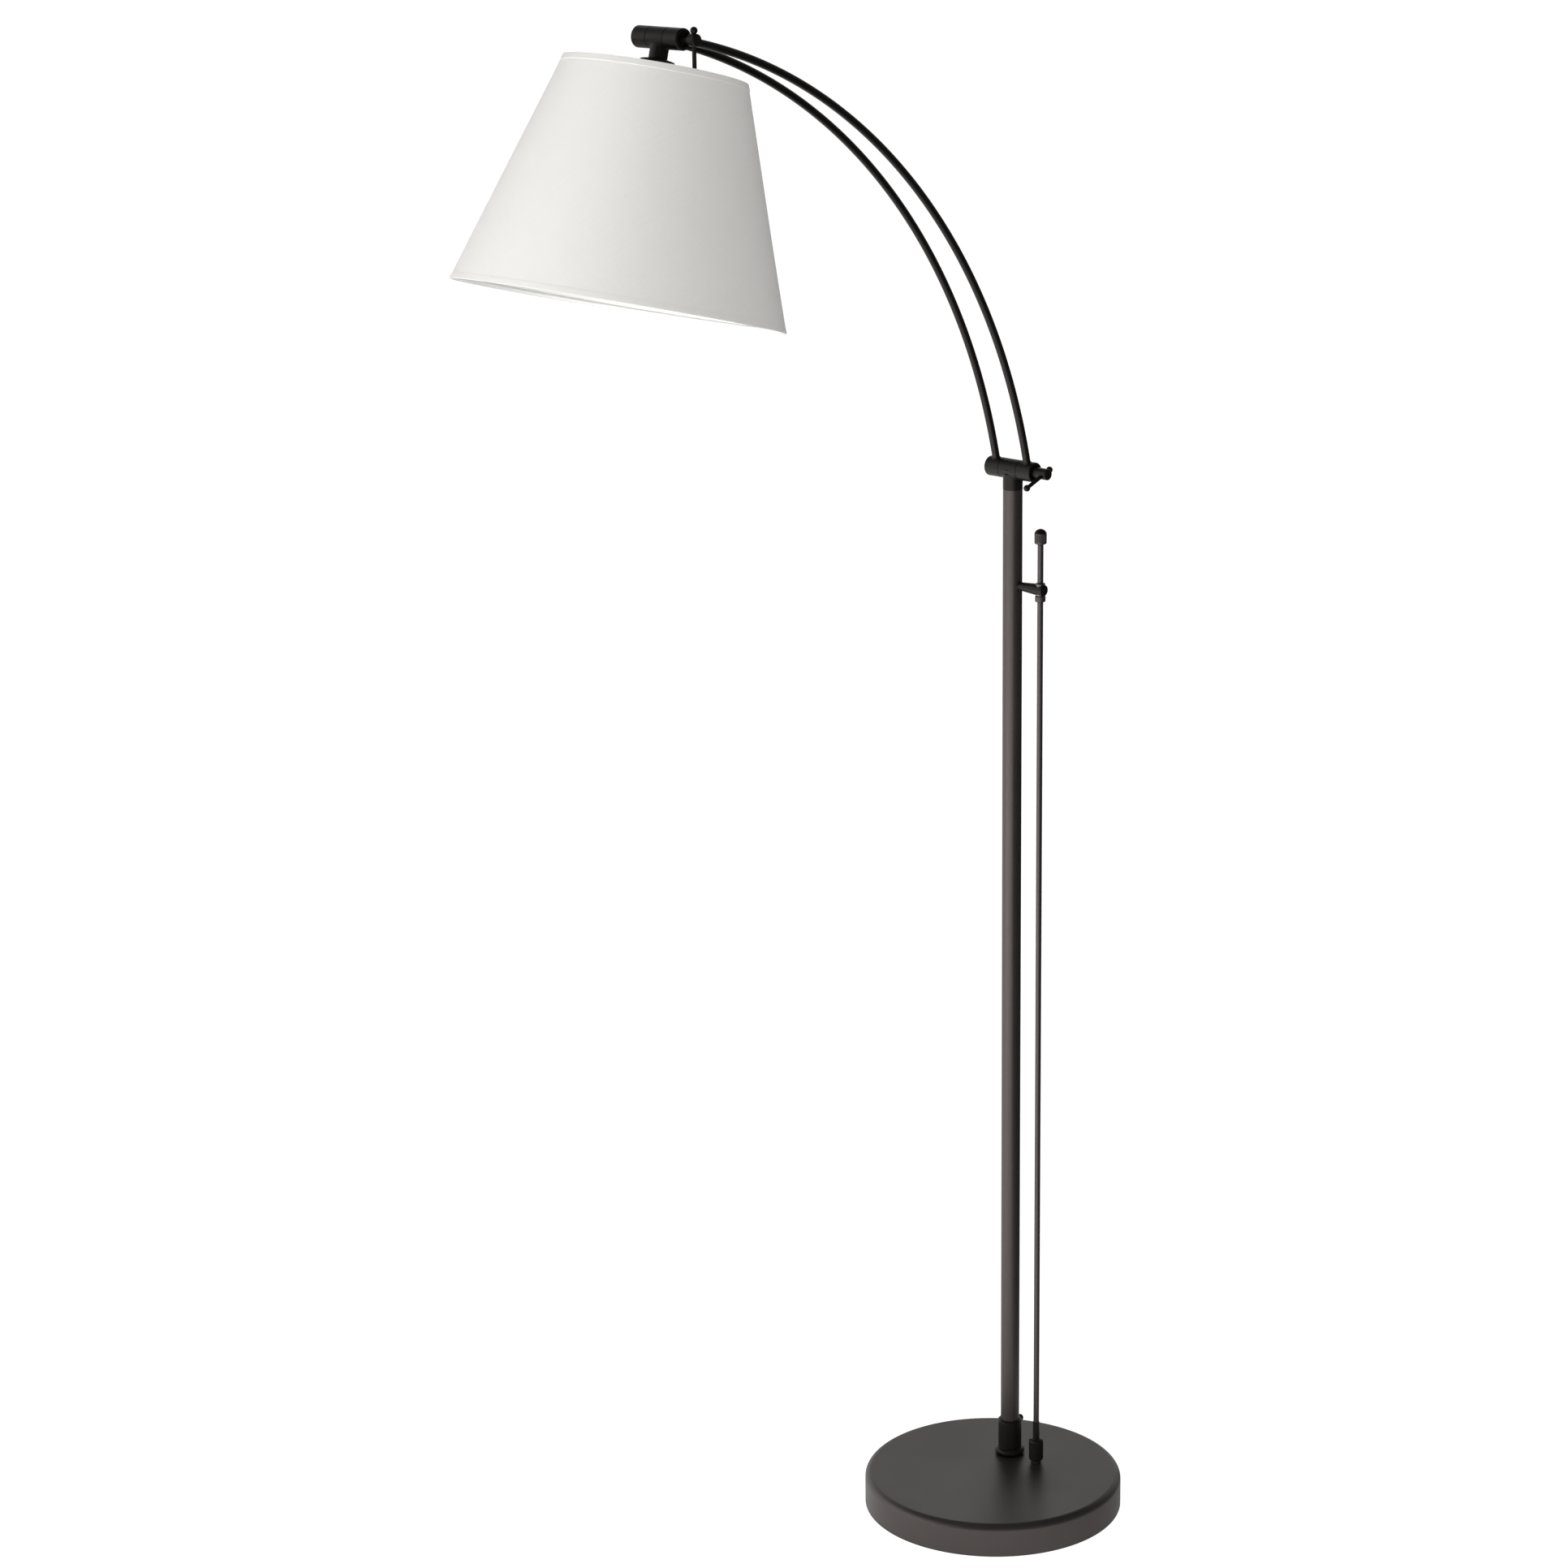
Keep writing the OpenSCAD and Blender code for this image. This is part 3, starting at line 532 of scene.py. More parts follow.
@dataclass(frozen=True)
class Finish:
    """A surface finish.

    Attributes:
        slot: The record's material slot that it belongs to.
        colour: Base colour, linear.
        roughness: Middle of the roughness.
        relief: Height of its fine relief in metres.
    """

    slot: Slot
    colour: Colour
    roughness: float
    relief: float

    def material(self) -> bpy.types.Material:
        """Returns the finish's material, built on the first call.

        Returns:
            The material.
        """
        name = f"{self.slot.value}_{type(self).__name__.lower()}"
        found = bpy.data.materials.get(name)
        if found is not None:
            return found
        made = bpy.data.materials.new(name)
        made.use_nodes = True
        shader = made.node_tree.nodes["Principled BSDF"]
        self.paint(Graph(made.node_tree), shader)
        return made

    def paint(self, graph: Graph, shader: bpy.types.Node) -> None:
        """Sets the shader up; each kind of finish has its own."""
        raise NotImplementedError

    def tinted(self, gain: float, lift: float = 0.0) -> Colour:
        """Returns the base colour made lighter or darker."""
        return tuple(min(1.0, part * gain + lift) for part in self.colour)

    def uneven(
        self,
        graph: Graph,
        value: Any,
        less: float,
        more: float,
        reach: tuple[float, float] = NOISE_MIDDLE,
    ) -> bpy.types.NodeSocket:
        """Returns a roughness that wanders round its middle with a value.

        Args:
            graph: The material's graph.
            value: The value that it follows.
            less: How far it goes below its middle.
            more: How far it goes above its middle.
            reach: The values where it is lowest and highest.
        """
        low, high = self.roughness - less, self.roughness + more
        return graph.span(value, *reach, low, high)

    def raise_relief(
        self, graph: Graph, shader: bpy.types.Node, height: Any, strength: float = 1.0
    ) -> None:
        """Feeds a height to the shader's normal through a Bump node.

        Args:
            graph: The material's graph.
            shader: The Principled shader.
            height: Socket with the height, 0 to 1.
            strength: Strength of the bump.
        """
        bump = graph.node("ShaderNodeBump")
        graph.feed(bump.inputs["Strength"], strength)
        graph.feed(bump.inputs["Distance"], self.relief)
        graph.feed(bump.inputs["Height"], height)
        graph.feed(shader.inputs["Normal"], bump.outputs[0])


@dataclass(frozen=True)
class SatinPaint(Finish):
    """Sprayed satin bronze: fine grain, slow tone, rubbed edges, thin dust and painted
    shade in seams.

    Attributes:
        worn: Colour of the rubbed edges.
        wear: Amount of wear, 0 to 1.
        dust: Amount of dust on faces that look up.
        metallic: Share of metal flake in the paint.
        grime: Amount of painted shade that darkens seams and corners, 0 to 1.
    """

    worn: Colour = (0.20, 0.15, 0.11)
    wear: float = 0.35
    dust: float = 0.05
    metallic: float = 0.85
    grime: float = 0.8

    def paint(self, graph: Graph, shader: bpy.types.Node) -> None:
        """Mixes tone, wear, dust and painted shade in seams into colour and roughness.

        Args:
            graph: The material's graph.
            shader: The Principled shader.
        """
        grain = place(graph, fine_grain(), Scale=1100.0, Patch_scale=9.0)
        wear = place(graph, edge_wear(), Amount=self.wear)["Mask"]
        dust = place(graph, settled_dust(), Amount=self.dust)["Mask"]
        grime = place(graph, crease_shade(), Reach=PAINTED_SHADE_REACH, Amount=self.grime)
        tone = graph.blend(grain["Mottle"], self.colour, self.tinted(1.25))
        rubbed = graph.blend(wear, tone, self.worn)
        dusted = graph.blend(dust, rubbed, DUST)
        # Painted shade: seams and inner corners are darkened in the colour itself.
        darkened = graph.blend(grime["Mask"], dusted, PAINTED_SHADE_COLOUR)
        graph.feed(shader.inputs["Base Color"], darkened)
        uneven = self.uneven(graph, grain["Mottle"], 0.03, 0.04)
        dulled = graph.math("ADD", uneven, graph.math("MULTIPLY", dust, 1.2))
        graph.feed(shader.inputs["Roughness"], dulled)
        shader.inputs["Metallic"].default_value = self.metallic
        self.raise_relief(graph, shader, grain["Height"], 0.2)


@dataclass(frozen=True)
class BareMetal(Finish):
    """Turned or drawn metal with fine lines round it.

    Attributes:
        tarnish: Colour of the duller patches.
    """

    tarnish: Colour = (0.3, 0.29, 0.28)

    def paint(self, graph: Graph, shader: bpy.types.Node) -> None:
        """Sets the metal with its lines and duller patches.

        Args:
            graph: The material's graph.
            shader: The Principled shader.
        """
        lines = place(graph, brush_lines(), Scale=2600.0)["Height"]
        mottle = place(graph, fine_grain(), Scale=700.0, Patch_scale=60.0)["Mottle"]
        patches = graph.span(mottle, 0.5, 0.75, 0.0, 0.5)
        tone = graph.blend(patches, self.colour, self.tarnish)
        graph.feed(shader.inputs["Base Color"], tone)
        graph.feed(shader.inputs["Roughness"], self.uneven(graph, lines, 0.06, 0.08))
        shader.inputs["Metallic"].default_value = 1.0
        self.raise_relief(graph, shader, lines, 0.3)


@dataclass(frozen=True)
class RoughCasting(Finish):
    """Cast or pressed material with a coarse skin, such as iron or felt.

    Attributes:
        grain_scale: Cycles per metre of the skin.
        sheen: Sheen weight, for fibres.
    """

    grain_scale: float = 380.0
    sheen: float = 0.0

    def paint(self, graph: Graph, shader: bpy.types.Node) -> None:
        """Sets the coarse skin.

        Args:
            graph: The material's graph.
            shader: The Principled shader.
        """
        grain = place(graph, fine_grain(), Scale=self.grain_scale, Patch_scale=30.0)
        tone = graph.blend(grain["Height"], self.colour, self.tinted(1.7, 0.01))
        graph.feed(shader.inputs["Base Color"], tone)
        uneven = self.uneven(graph, grain["Mottle"], 0.05, 0.0)
        graph.feed(shader.inputs["Roughness"], uneven)
        shader.inputs["Sheen Weight"].default_value = self.sheen
        self.raise_relief(graph, shader, grain["Height"])


@dataclass(frozen=True)
class MouldedPlastic(Finish):
    """Moulded or extruded plastic with a faint spark texture."""

    def paint(self, graph: Graph, shader: bpy.types.Node) -> None:
        """Sets the plastic's tone and texture.

        Args:
            graph: The material's graph.
            shader: The Principled shader.
        """
        grain = place(graph, fine_grain(), Scale=1600.0, Patch_scale=22.0)
        tone = graph.blend(grain["Mottle"], self.colour, self.tinted(1.06, 0.004))
        graph.feed(shader.inputs["Base Color"], tone)
        uneven = self.uneven(graph, grain["Mottle"], 0.05, 0.05)
        graph.feed(shader.inputs["Roughness"], uneven)
        self.raise_relief(graph, shader, grain["Height"], 0.5)


@dataclass(frozen=True)
class WovenCloth(Finish):
    """Plain-woven linen with slubs, on the cut cloth's own coordinates.

    Attributes:
        shadow: Colour between and on the thicker threads.
        threads: Threads per metre.
    """

    shadow: Colour = (0.66, 0.62, 0.55)
    threads: float = 1500.0

    def paint(self, graph: Graph, shader: bpy.types.Node) -> None:
        """Sets the weave's relief and its faint change of tone.

        Args:
            graph: The material's graph.
            shader: The Principled shader.
        """
        weave = place(graph, plain_weave(), Threads_per_metre=self.threads, Slub=0.7)
        faint = graph.math("MULTIPLY", weave["Tone"], 0.15)
        tone = graph.blend(faint, self.colour, self.shadow)
        graph.feed(shader.inputs["Base Color"], tone)
        uneven = self.uneven(graph, weave["Height"], 0.08, 0.0, reach=(0.0, 1.5))
        graph.feed(shader.inputs["Roughness"], uneven)
        shader.inputs["Sheen Weight"].default_value = 0.15
        shader.inputs["Specular IOR Level"].default_value = 0.25
        self.raise_relief(graph, shader, weave["Height"], 0.35)


@dataclass(frozen=True)
class OpalGlass(Finish):
    """Frosted white glass."""

    def paint(self, graph: Graph, shader: bpy.types.Node) -> None:
        """Sets the milky glass with its soft coating.

        Args:
            graph: The material's graph.
            shader: The Principled shader.
        """
        grain = place(graph, fine_grain(), Scale=500.0, Patch_scale=25.0)
        tone = graph.blend(grain["Mottle"], self.colour, self.tinted(0.97))
        graph.feed(shader.inputs["Base Color"], tone)
        uneven = self.uneven(graph, grain["Mottle"], 0.04, 0.04)
        graph.feed(shader.inputs["Roughness"], uneven)
        shader.inputs["Subsurface Weight"].default_value = 0.3
        shader.inputs["Subsurface Radius"].default_value = (0.01, 0.01, 0.01)
        shader.inputs["Coat Weight"].default_value = 0.2
        self.raise_relief(graph, shader, grain["Height"], 0.2)


BRONZE = SatinPaint(Slot.BRONZE, (0.110, 0.098, 0.095), 0.35, 0.000005)
DARK_BRONZE = SatinPaint(
    Slot.DARK_BRONZE, (0.034, 0.031, 0.030), 0.32, 0.000006, wear=0.3
)
WHITE_WIRE = SatinPaint(
    Slot.WHITE_WIRE,
    (0.82, 0.82, 0.80),
    0.45,
    0.000012,
    worn=(0.5, 0.5, 0.5),
    wear=0.1,
    metallic=0.0,
    grime=0.1,
)
STEEL = BareMetal(
    Slot.STEEL, (0.22, 0.22, 0.225), 0.36, 0.00002, tarnish=(0.14, 0.13, 0.13)
)
BRASS = BareMetal(
    Slot.BRASS, (0.70, 0.50, 0.22), 0.30, 0.00003, tarnish=(0.36, 0.24, 0.1)
)
CAP_METAL = BareMetal(Slot.CAP_METAL, (0.72, 0.72, 0.73), 0.26, 0.00002)
CAST_IRON = RoughCasting(Slot.CAST_IRON, (0.035, 0.035, 0.037), 0.75, 0.0004)
FELT = RoughCasting(
    Slot.FELT, (0.016, 0.016, 0.017), 0.97, 0.0003, grain_scale=1500.0, sheen=0.4
)
BLACK_PLASTIC = MouldedPlastic(Slot.BLACK_PLASTIC, (0.018, 0.018, 0.018), 0.45, 0.00005)
LEAD_JACKET = MouldedPlastic(Slot.LEAD_JACKET, (0.022, 0.022, 0.022), 0.5, 0.00004)
LINEN = WovenCloth(Slot.LINEN, (0.85, 0.843, 0.822), 0.92, 0.00018)
LINER = MouldedPlastic(Slot.LINER, (0.90, 0.895, 0.88), 0.5, 0.00004)
OPAL = OpalGlass(Slot.OPAL_GLASS, (0.92, 0.92, 0.90), 0.32, 0.00003)


# ------------------------------------------------------------ mesh making


def arc(
    centre: tuple[float, float], radius: float, start: float, end: float, steps: int = 8
) -> Outline:
    """Points of an outline on a circle.

    Args:
        centre: Centre as (distance from the axis, height).
        radius: Radius of the circle.
        start: First angle in degrees, from the outward direction towards the top.
        end: Last angle in degrees.
        steps: Number of straight steps.

    Returns:
        The outline's points from start to end.
    """
    angles = [math.radians(start + (end - start) * i / steps) for i in range(steps + 1)]
    return [
        (centre[0] + radius * math.cos(a), centre[1] + radius * math.sin(a))
        for a in angles
    ]


def ring_outline(inner: float, outer: float, low: float, high: float) -> Outline:
    """Outline of a plain ring or, with no inner radius, a disc."""
    return [(inner, low), (outer, low), (outer, high), (inner, high)]


def moved(bm: Mesh, matrix: Matrix) -> Mesh:
    """Moves a whole mesh and returns it."""
    bmesh.ops.transform(bm, matrix=matrix, verts=list(bm.verts))
    return bm


def capped(bm: Mesh) -> Mesh:
    """Closes a mesh's open ends and returns it."""
    bmesh.ops.holes_fill(bm, edges=[edge for edge in bm.edges if edge.is_boundary])
    return bm


def linked(name: str, data: bpy.types.ID) -> bpy.types.Object:
    """Makes an object and puts it in the scene.

    Args:
        name: Name of the object.
        data: Its mesh, light or camera.

    Returns:
        The object.
    """
    made = bpy.data.objects.new(name, data)
    bpy.context.scene.collection.objects.link(made)
    return made


def soften(bm: Mesh, size: float, segments: int = 2) -> None:
    """Bevels every edge that turns by more than 28 degrees.

    Args:
        bm: The mesh.
        size: Width of the bevel.
        segments: Segments of the bevel.
    """
    sharp = [
        edge
        for edge in bm.edges
        if edge.is_manifold and edge.calc_face_angle() > math.radians(28)
    ]
    bmesh.ops.bevel(
        bm,
        geom=sharp,
        offset=size,
        segments=segments,
        profile=0.5,
        affect="EDGES",
        material=-1,
    )


def turned(outline: Outline, rounding: float = 0.0, steps: int = 96) -> Mesh:
    """Turns an outline round the Z axis as on a lathe.

    Args:
        outline: Points as (distance from the axis, height), round the section.
        rounding: Bevel on the sharp rings.
        steps: Steps of the full turn.

    Returns:
        The closed turned mesh.
    """
    bm = bmesh.new()
    points = [bm.verts.new((radius, 0.0, height)) for radius, height in outline]
    lines = [
        bm.edges.new((first, second))
        for first, second in zip(points, points[1:] + points[:1])
        if abs(first.co.x) > 1e-6 or abs(second.co.x) > 1e-6
    ]
    bmesh.ops.spin(
        bm,
        geom=points + lines,
        cent=(0, 0, 0),
        axis=(0, 0, 1),
        dvec=(0, 0, 0),
        angle=math.tau,
        steps=steps,
        use_merge=True,
    )
    bmesh.ops.remove_doubles(bm, verts=bm.verts, dist=1e-4)
    bmesh.ops.dissolve_degenerate(bm, dist=1e-5, edges=bm.edges)
    bmesh.ops.recalc_face_normals(bm, faces=bm.faces)
    if rounding > 0.0:
        soften(bm, rounding)
    return bm


def wire_ring(
    radius: float, height: float, thickness: float, steps: int = 160
) -> Mesh:
    """Round wire bent to a closed ring."""
    return turned(arc((radius, height), thickness, 0, 360, 16)[:-1], steps=steps)


def thread(
    radius: float, start: float, pitch: float, turns: float, ridge: float
) -> Mesh:
    """A rolled screw thread's ridge, a circle spun along a helix.

    Args:
        radius: Radius of the ridge's middle.
        start: Height of its first end.
        pitch: Rise of one turn.
        turns: Number of turns.
        ridge: Radius of the ridge.

    Returns:
        The ridge, closed at both ends.
    """
    bm = bmesh.new()
    bmesh.ops.create_circle(bm, cap_ends=False, radius=ridge, segments=8)
    upright = Matrix.Rotation(math.pi / 2, 4, "X")
    moved(bm, Matrix.Translation((radius, 0, start)) @ upright)
    steps = int(48 * turns)
    bmesh.ops.spin(
        bm,
        geom=list(bm.verts) + list(bm.edges),
        cent=(0, 0, 0),
        axis=(0, 0, 1),
        dvec=(0, 0, pitch * turns / steps),
        angle=math.tau * turns,
        steps=steps,
    )
    return capped(bm)


def bead(tube_radius: float, barrel_radius: float, thickness: float) -> Mesh:
    """Fillet of braze round a tube where it meets a barrel.

    Z runs out along the tube from the barrel's axis, and the barrel lies along Y.

    Args:
        tube_radius: Radius of the tube.
        barrel_radius: Radius of the barrel.
        thickness: Radius of the fillet.

    Returns:
        The fillet, bent to the barrel's surface.
    """
    bm = wire_ring(tube_radius, 0.0, thickness, steps=72)
    for vert in bm.verts:
        across = min(abs(vert.co.x), barrel_radius * 0.999)
        lift = math.sqrt(barrel_radius**2 - across**2)
        ripple = 0.12 * thickness * math.sin(17 * math.atan2(vert.co.y, vert.co.x))
        vert.co.z += lift + ripple
    return bm


def flute(
    bm: Mesh, count: int, depth: float, low: float, high: float
) -> Mesh:
    """Presses grooves into the outside of a turned grip.

    Args:
        bm: The turned mesh.
        count: Number of grooves.
        depth: Depth of a groove.
        low: Height where the grooves start.
        high: Height where they end.

    Returns:
        The same mesh.
    """
    reach = max(math.hypot(vert.co.x, vert.co.y) for vert in bm.verts)
    for vert in bm.verts:
        radius = math.hypot(vert.co.x, vert.co.y)
        if not low < vert.co.z < high or radius < reach - 0.5:
            continue
        wave = math.cos(count * math.atan2(vert.co.y, vert.co.x))
        pressed = 1 - depth * max(0.0, wave - 0.2) / 0.8 / radius
        vert.co.x *= pressed
        vert.co.y *= pressed
    return bm


def bar_between(
    start: Vector, end: Vector, radius: float, sides: int = 16
) -> Mesh:
    """Straight round bar between two points.

    Args:
        start: First end.
        end: Second end.
        radius: Radius of the bar.
        sides: Sides of its section.

    Returns:
        The bar, closed at both ends.
    """
    bm = bmesh.new()
    along = end - start
    turn = along.to_track_quat("Z", "Y").to_matrix().to_4x4()
    bmesh.ops.create_cone(
        bm,
        cap_ends=True,
        segments=sides,
        radius1=radius,
        radius2=radius,
        depth=along.length,
        matrix=Matrix.Translation((start + end) / 2) @ turn,
    )
    return bm


def joined(*parts: Mesh) -> Mesh:
    """Puts several meshes into one, and frees them.

    Args:
        parts: The meshes.

    Returns:
        The whole mesh.
    """
    whole = bmesh.new()
    for part in parts:
        mesh = bpy.data.meshes.new("part")
        part.to_mesh(mesh)
        part.free()
        whole.from_mesh(mesh)
        bpy.data.meshes.remove(mesh)
    return whole


def drilled(blank: Mesh, *drills: Mesh) -> Mesh:
    """Cuts holes with a Boolean modifier and returns the result.

    Args:
        blank: The mesh to cut.
        drills: The closed meshes to take away.

    Returns:
        The cut mesh.
    """
    made = []
    for name, bm in (("blank", blank), *(("drill", drill) for drill in drills)):
        mesh = bpy.data.meshes.new(name)
        bm.to_mesh(mesh)
        bm.free()
        made.append(linked(name, mesh))
    for tool in made[1:]:
        cut = made[0].modifiers.new("cut", "BOOLEAN")
        cut.operation, cut.solver, cut.object = "DIFFERENCE", "EXACT", tool
    result = bmesh.new()
    result.from_object(made[0], bpy.context.evaluated_depsgraph_get())
    for made_object in made:
        mesh = made_object.data
        bpy.data.objects.remove(made_object)
        bpy.data.meshes.remove(mesh)
    return result


def lay_cloth_map(bm: Mesh, apex: float, slope: float) -> None:
    """Gives a cone of cloth the coordinates of its flat cut, in metres.

    Args:
        bm: The mesh in the shade's frame, in millimetres.
        apex: Height of the cone's apex.
        slope: Radius gained per unit of depth.
    """
    layer = bm.loops.layers.uv.new("cloth")
    flatten = slope / math.hypot(1.0, slope)
    for face in bm.faces:
        middle = face.calc_center_median()
        facing = math.atan2(middle.y, middle.x)
        for loop in face.loops:
            spot = loop.vert.co
            turn = math.atan2(spot.y, spot.x) - facing
            angle = facing + math.atan2(math.sin(turn), math.cos(turn))
            reach = math.hypot(math.hypot(spot.x, spot.y), apex - spot.z) * MM
            loop[layer].uv = (
                reach * math.sin(angle * flatten),
                reach * math.cos(angle * flatten),
            )


# ----------------------------------------------------------- sub-assemblies


@dataclass(frozen=True)
class Layout:
    """Where the frame's joints and axes are, in millimetres.

    Attributes:
        pole: Foot of the pole's axis on the floor.
        rod: Foot of the switch rod's axis on the floor.
        shoulder: Middle of the shoulder barrel.
        head: Middle of the head barrel.
    """

    pole: Vector
    rod: Vector
    shoulder: Vector
    head: Vector

    @classmethod
    def from_frame(cls, frame: dict[str, Any]) -> "Layout":
        """Reads the joints' places.


        Returns:
            The layout.
        """
        at = {
            joint["name"]: Vector(joint["pos_m"]) / MM
            for joint in frame["joints"]
            if "pos_m" in joint
        }
        shoulder, head, rod = (
            at[name] for name in ("shoulder_tilt", "head_tilt", "switch_turn")
        )
        return cls(
            pole=Vector((shoulder.x, shoulder.y, 0)),
            rod=Vector((rod.x, rod.y, 0)),
            shoulder=shoulder,
            head=head,
        )

    @staticmethod
    def upright(point: Vector, height: float = 0.0) -> Matrix:
        """Frame that stands at a point."""
        return Matrix.Translation(point + Vector((0, 0, height)))

    @staticmethod
    def barrel(point: Vector) -> Matrix:
        """Frame of a barrel: Z runs towards the handle side."""
        return Matrix.Translation(point) @ Matrix.Rotation(math.pi / 2, 4, "X")

    @staticmethod
    def branch(point: Vector, direction: Vector, axis: Vector) -> Matrix:
        """Frame whose Z follows direction and whose Y follows axis.

        Args:
            point: Origin of the frame.
            direction: Direction of its Z.
            axis: Direction of its Y, square to the Z.

        Returns:
            The frame.
        """
        across = axis.cross(direction)
        turn = Matrix((across, axis, direction)).transposed().to_4x4()
        return Matrix.Translation(point) @ turn


class SubAssembly:
    """Pieces that are made, seated and dressed together.

    Args:
        layout: Where the joints are.
    """

    def __init__(self, layout: Layout) -> None:
        """Keeps the layout and starts the list of pieces."""
        self.layout = layout
        self.pieces: list[bpy.types.Object] = []

    def add(
        self,
        name: str,
        bm: Mesh,
        finish: Finish,
        body: Body,
        seat: Matrix,
        *replaces: str,
        smooth: float = 40.0,
    ) -> bpy.types.Object:
        """Seats a mesh, makes it a piece, dresses it and reports it.

        Args:
            name: Name of the piece.
            bm: Its mesh in millimetres in its own frame; it is freed.
            finish: Its finish.
            body: The body that it moves with.
            seat: Its own frame.
            replaces: CAD nodes that it stands for.
            smooth: Edges that turn by less than this many degrees are smooth.

        Returns:
            The new object.
        """
        moved(bm, Matrix.Scale(MM, 4) @ seat)
        bmesh.ops.recalc_face_normals(bm, faces=bm.faces)
        mesh = bpy.data.meshes.new(name)
        bm.to_mesh(mesh)
        bm.free()
        mesh.shade_smooth()
        mesh.set_sharp_from_angle(angle=math.radians(smooth))
        mesh.materials.append(finish.material())
        piece = linked(name, mesh)
        weighted = piece.modifiers.new("weighted_normals", "WEIGHTED_NORMAL")
        weighted.keep_sharp = True
        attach(piece, body.value)
        if replaces:
            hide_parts(*replaces)
        self.pieces.append(piece)
        LOG.info("%s: %d faces on %s", name, len(mesh.polygons), body.value)
        return piece

    def build(self) -> None:
        """Makes every piece; each sub-assembly has its own."""
        raise NotImplementedError


@dataclass
class BaseSizes:
    """Sizes of the base in millimetres."""

    radius: float = 152.5
    height: float = 40.0
    edge: float = 8.0
    wall: float = 1.5
    lift: float = 1.0
    pole_hole: float = 5.3
    rod_hole: float = 5.2
    pad_radius: float = 148.5
    pad: float = 2.0
    inlet_height: float = 12.0
    inlet_hole: float = 6.1
    inlet_bore: float = 3.4
    flange: float = 8.5


class BaseAssembly(SubAssembly):
    """Spun cover, felt pad and cord grommet of the weighted base."""

    sizes = BaseSizes()

    def cover(self) -> Mesh:
        """Returns the spun cover, drilled for the pole, the switch and the cord.

        Returns:
            The drilled cover.
        """
        s = self.sizes
        centre = (s.radius - s.edge, s.height - s.edge)
        outline: Outline = [(0.0, s.height), (70.0, s.height), (120.0, s.height)]
        outline += arc(centre, s.edge, 90, 0, 14)
        outline += [(s.radius, s.lift), (s.radius - s.wall, s.lift)]
        outline += arc(centre, s.edge - s.wall, 0, 90, 14)
        outline += [(0.0, s.height - s.wall)]
        blank = turned(outline, 0.4, 192)
        layout, top = self.layout, Vector((0, 0, s.height))
        holes = [
            bar_between(foot + top * 0.8, foot + top * 1.2, radius, 48)
            for foot, radius in ((layout.pole, s.pole_hole), (layout.rod, s.rod_hole))
        ]
        inlet = Vector((s.radius, 0, s.inlet_height))
        reach = Vector((6, 0, 0))
        return drilled(
            blank, *holes, bar_between(inlet - reach, inlet + reach, s.inlet_hole, 48)
        )

    def grommet(self) -> Mesh:
        """Returns the cord grommet: flange outside, barbed sleeve inside.

        Returns:
            The grommet.
        """
        s = self.sizes
        return turned(
            [
                (s.inlet_bore, -8.0),
                (5.6, -8.0),
                (6.0, -6.8),
                (6.7, -4.4),
                (6.0, -3.0),
                (6.0, -0.2),
                (s.flange - 0.3, -0.2),
                (s.flange, 0.2),
                (s.flange - 0.1, 1.0),
                (s.flange - 0.8, 1.8),
                (s.flange - 1.8, 2.0),
                (s.inlet_bore + 0.8, 2.0),
                (s.inlet_bore, 1.2),
            ],
            0.1,
            72,
        )

    def build(self) -> None:
        """Makes the base's pieces."""
        s, floor = self.sizes, Matrix.Identity(4)
        shell = self.cover()
        self.add("base_cover_shell", shell, BRONZE, Body.STAND, floor, "base_cover")
        rim = [(s.pad_radius, 0), (s.pad_radius, s.pad)]
        pad = turned([(0, 0), (110, 0), *rim, (0, s.pad)], 0.6, 160)
        self.add("base_felt_pad", pad, FELT, Body.STAND, floor, "base_pad")
        inlet = Matrix.Translation((s.radius, 0, s.inlet_height))
        self.add(
            "cord_inlet_grommet",
            self.grommet(),
            BLACK_PLASTIC,
            Body.STAND,
            inlet @ Matrix.Rotation(math.pi / 2, 4, "Y"),
            "cord_grommet",
        )


@dataclass
class PoleSizes:
    """Sizes of the pole and its socket in millimetres."""

    base_top: float = 40.0
    radius: float = 11.1
    wall: float = 1.5
    foot: float = 12.0
    tee_collar: float = 23.0
    socket_radius: float = 14.0
    socket_height: float = 44.0
    ring_radius: float = 17.65
    ring_height: float = 8.5
    rim: float = 1.3
    rim_out: float = 0.4
    screw_drop: float = 5.0
    screw_hole: float = 2.08


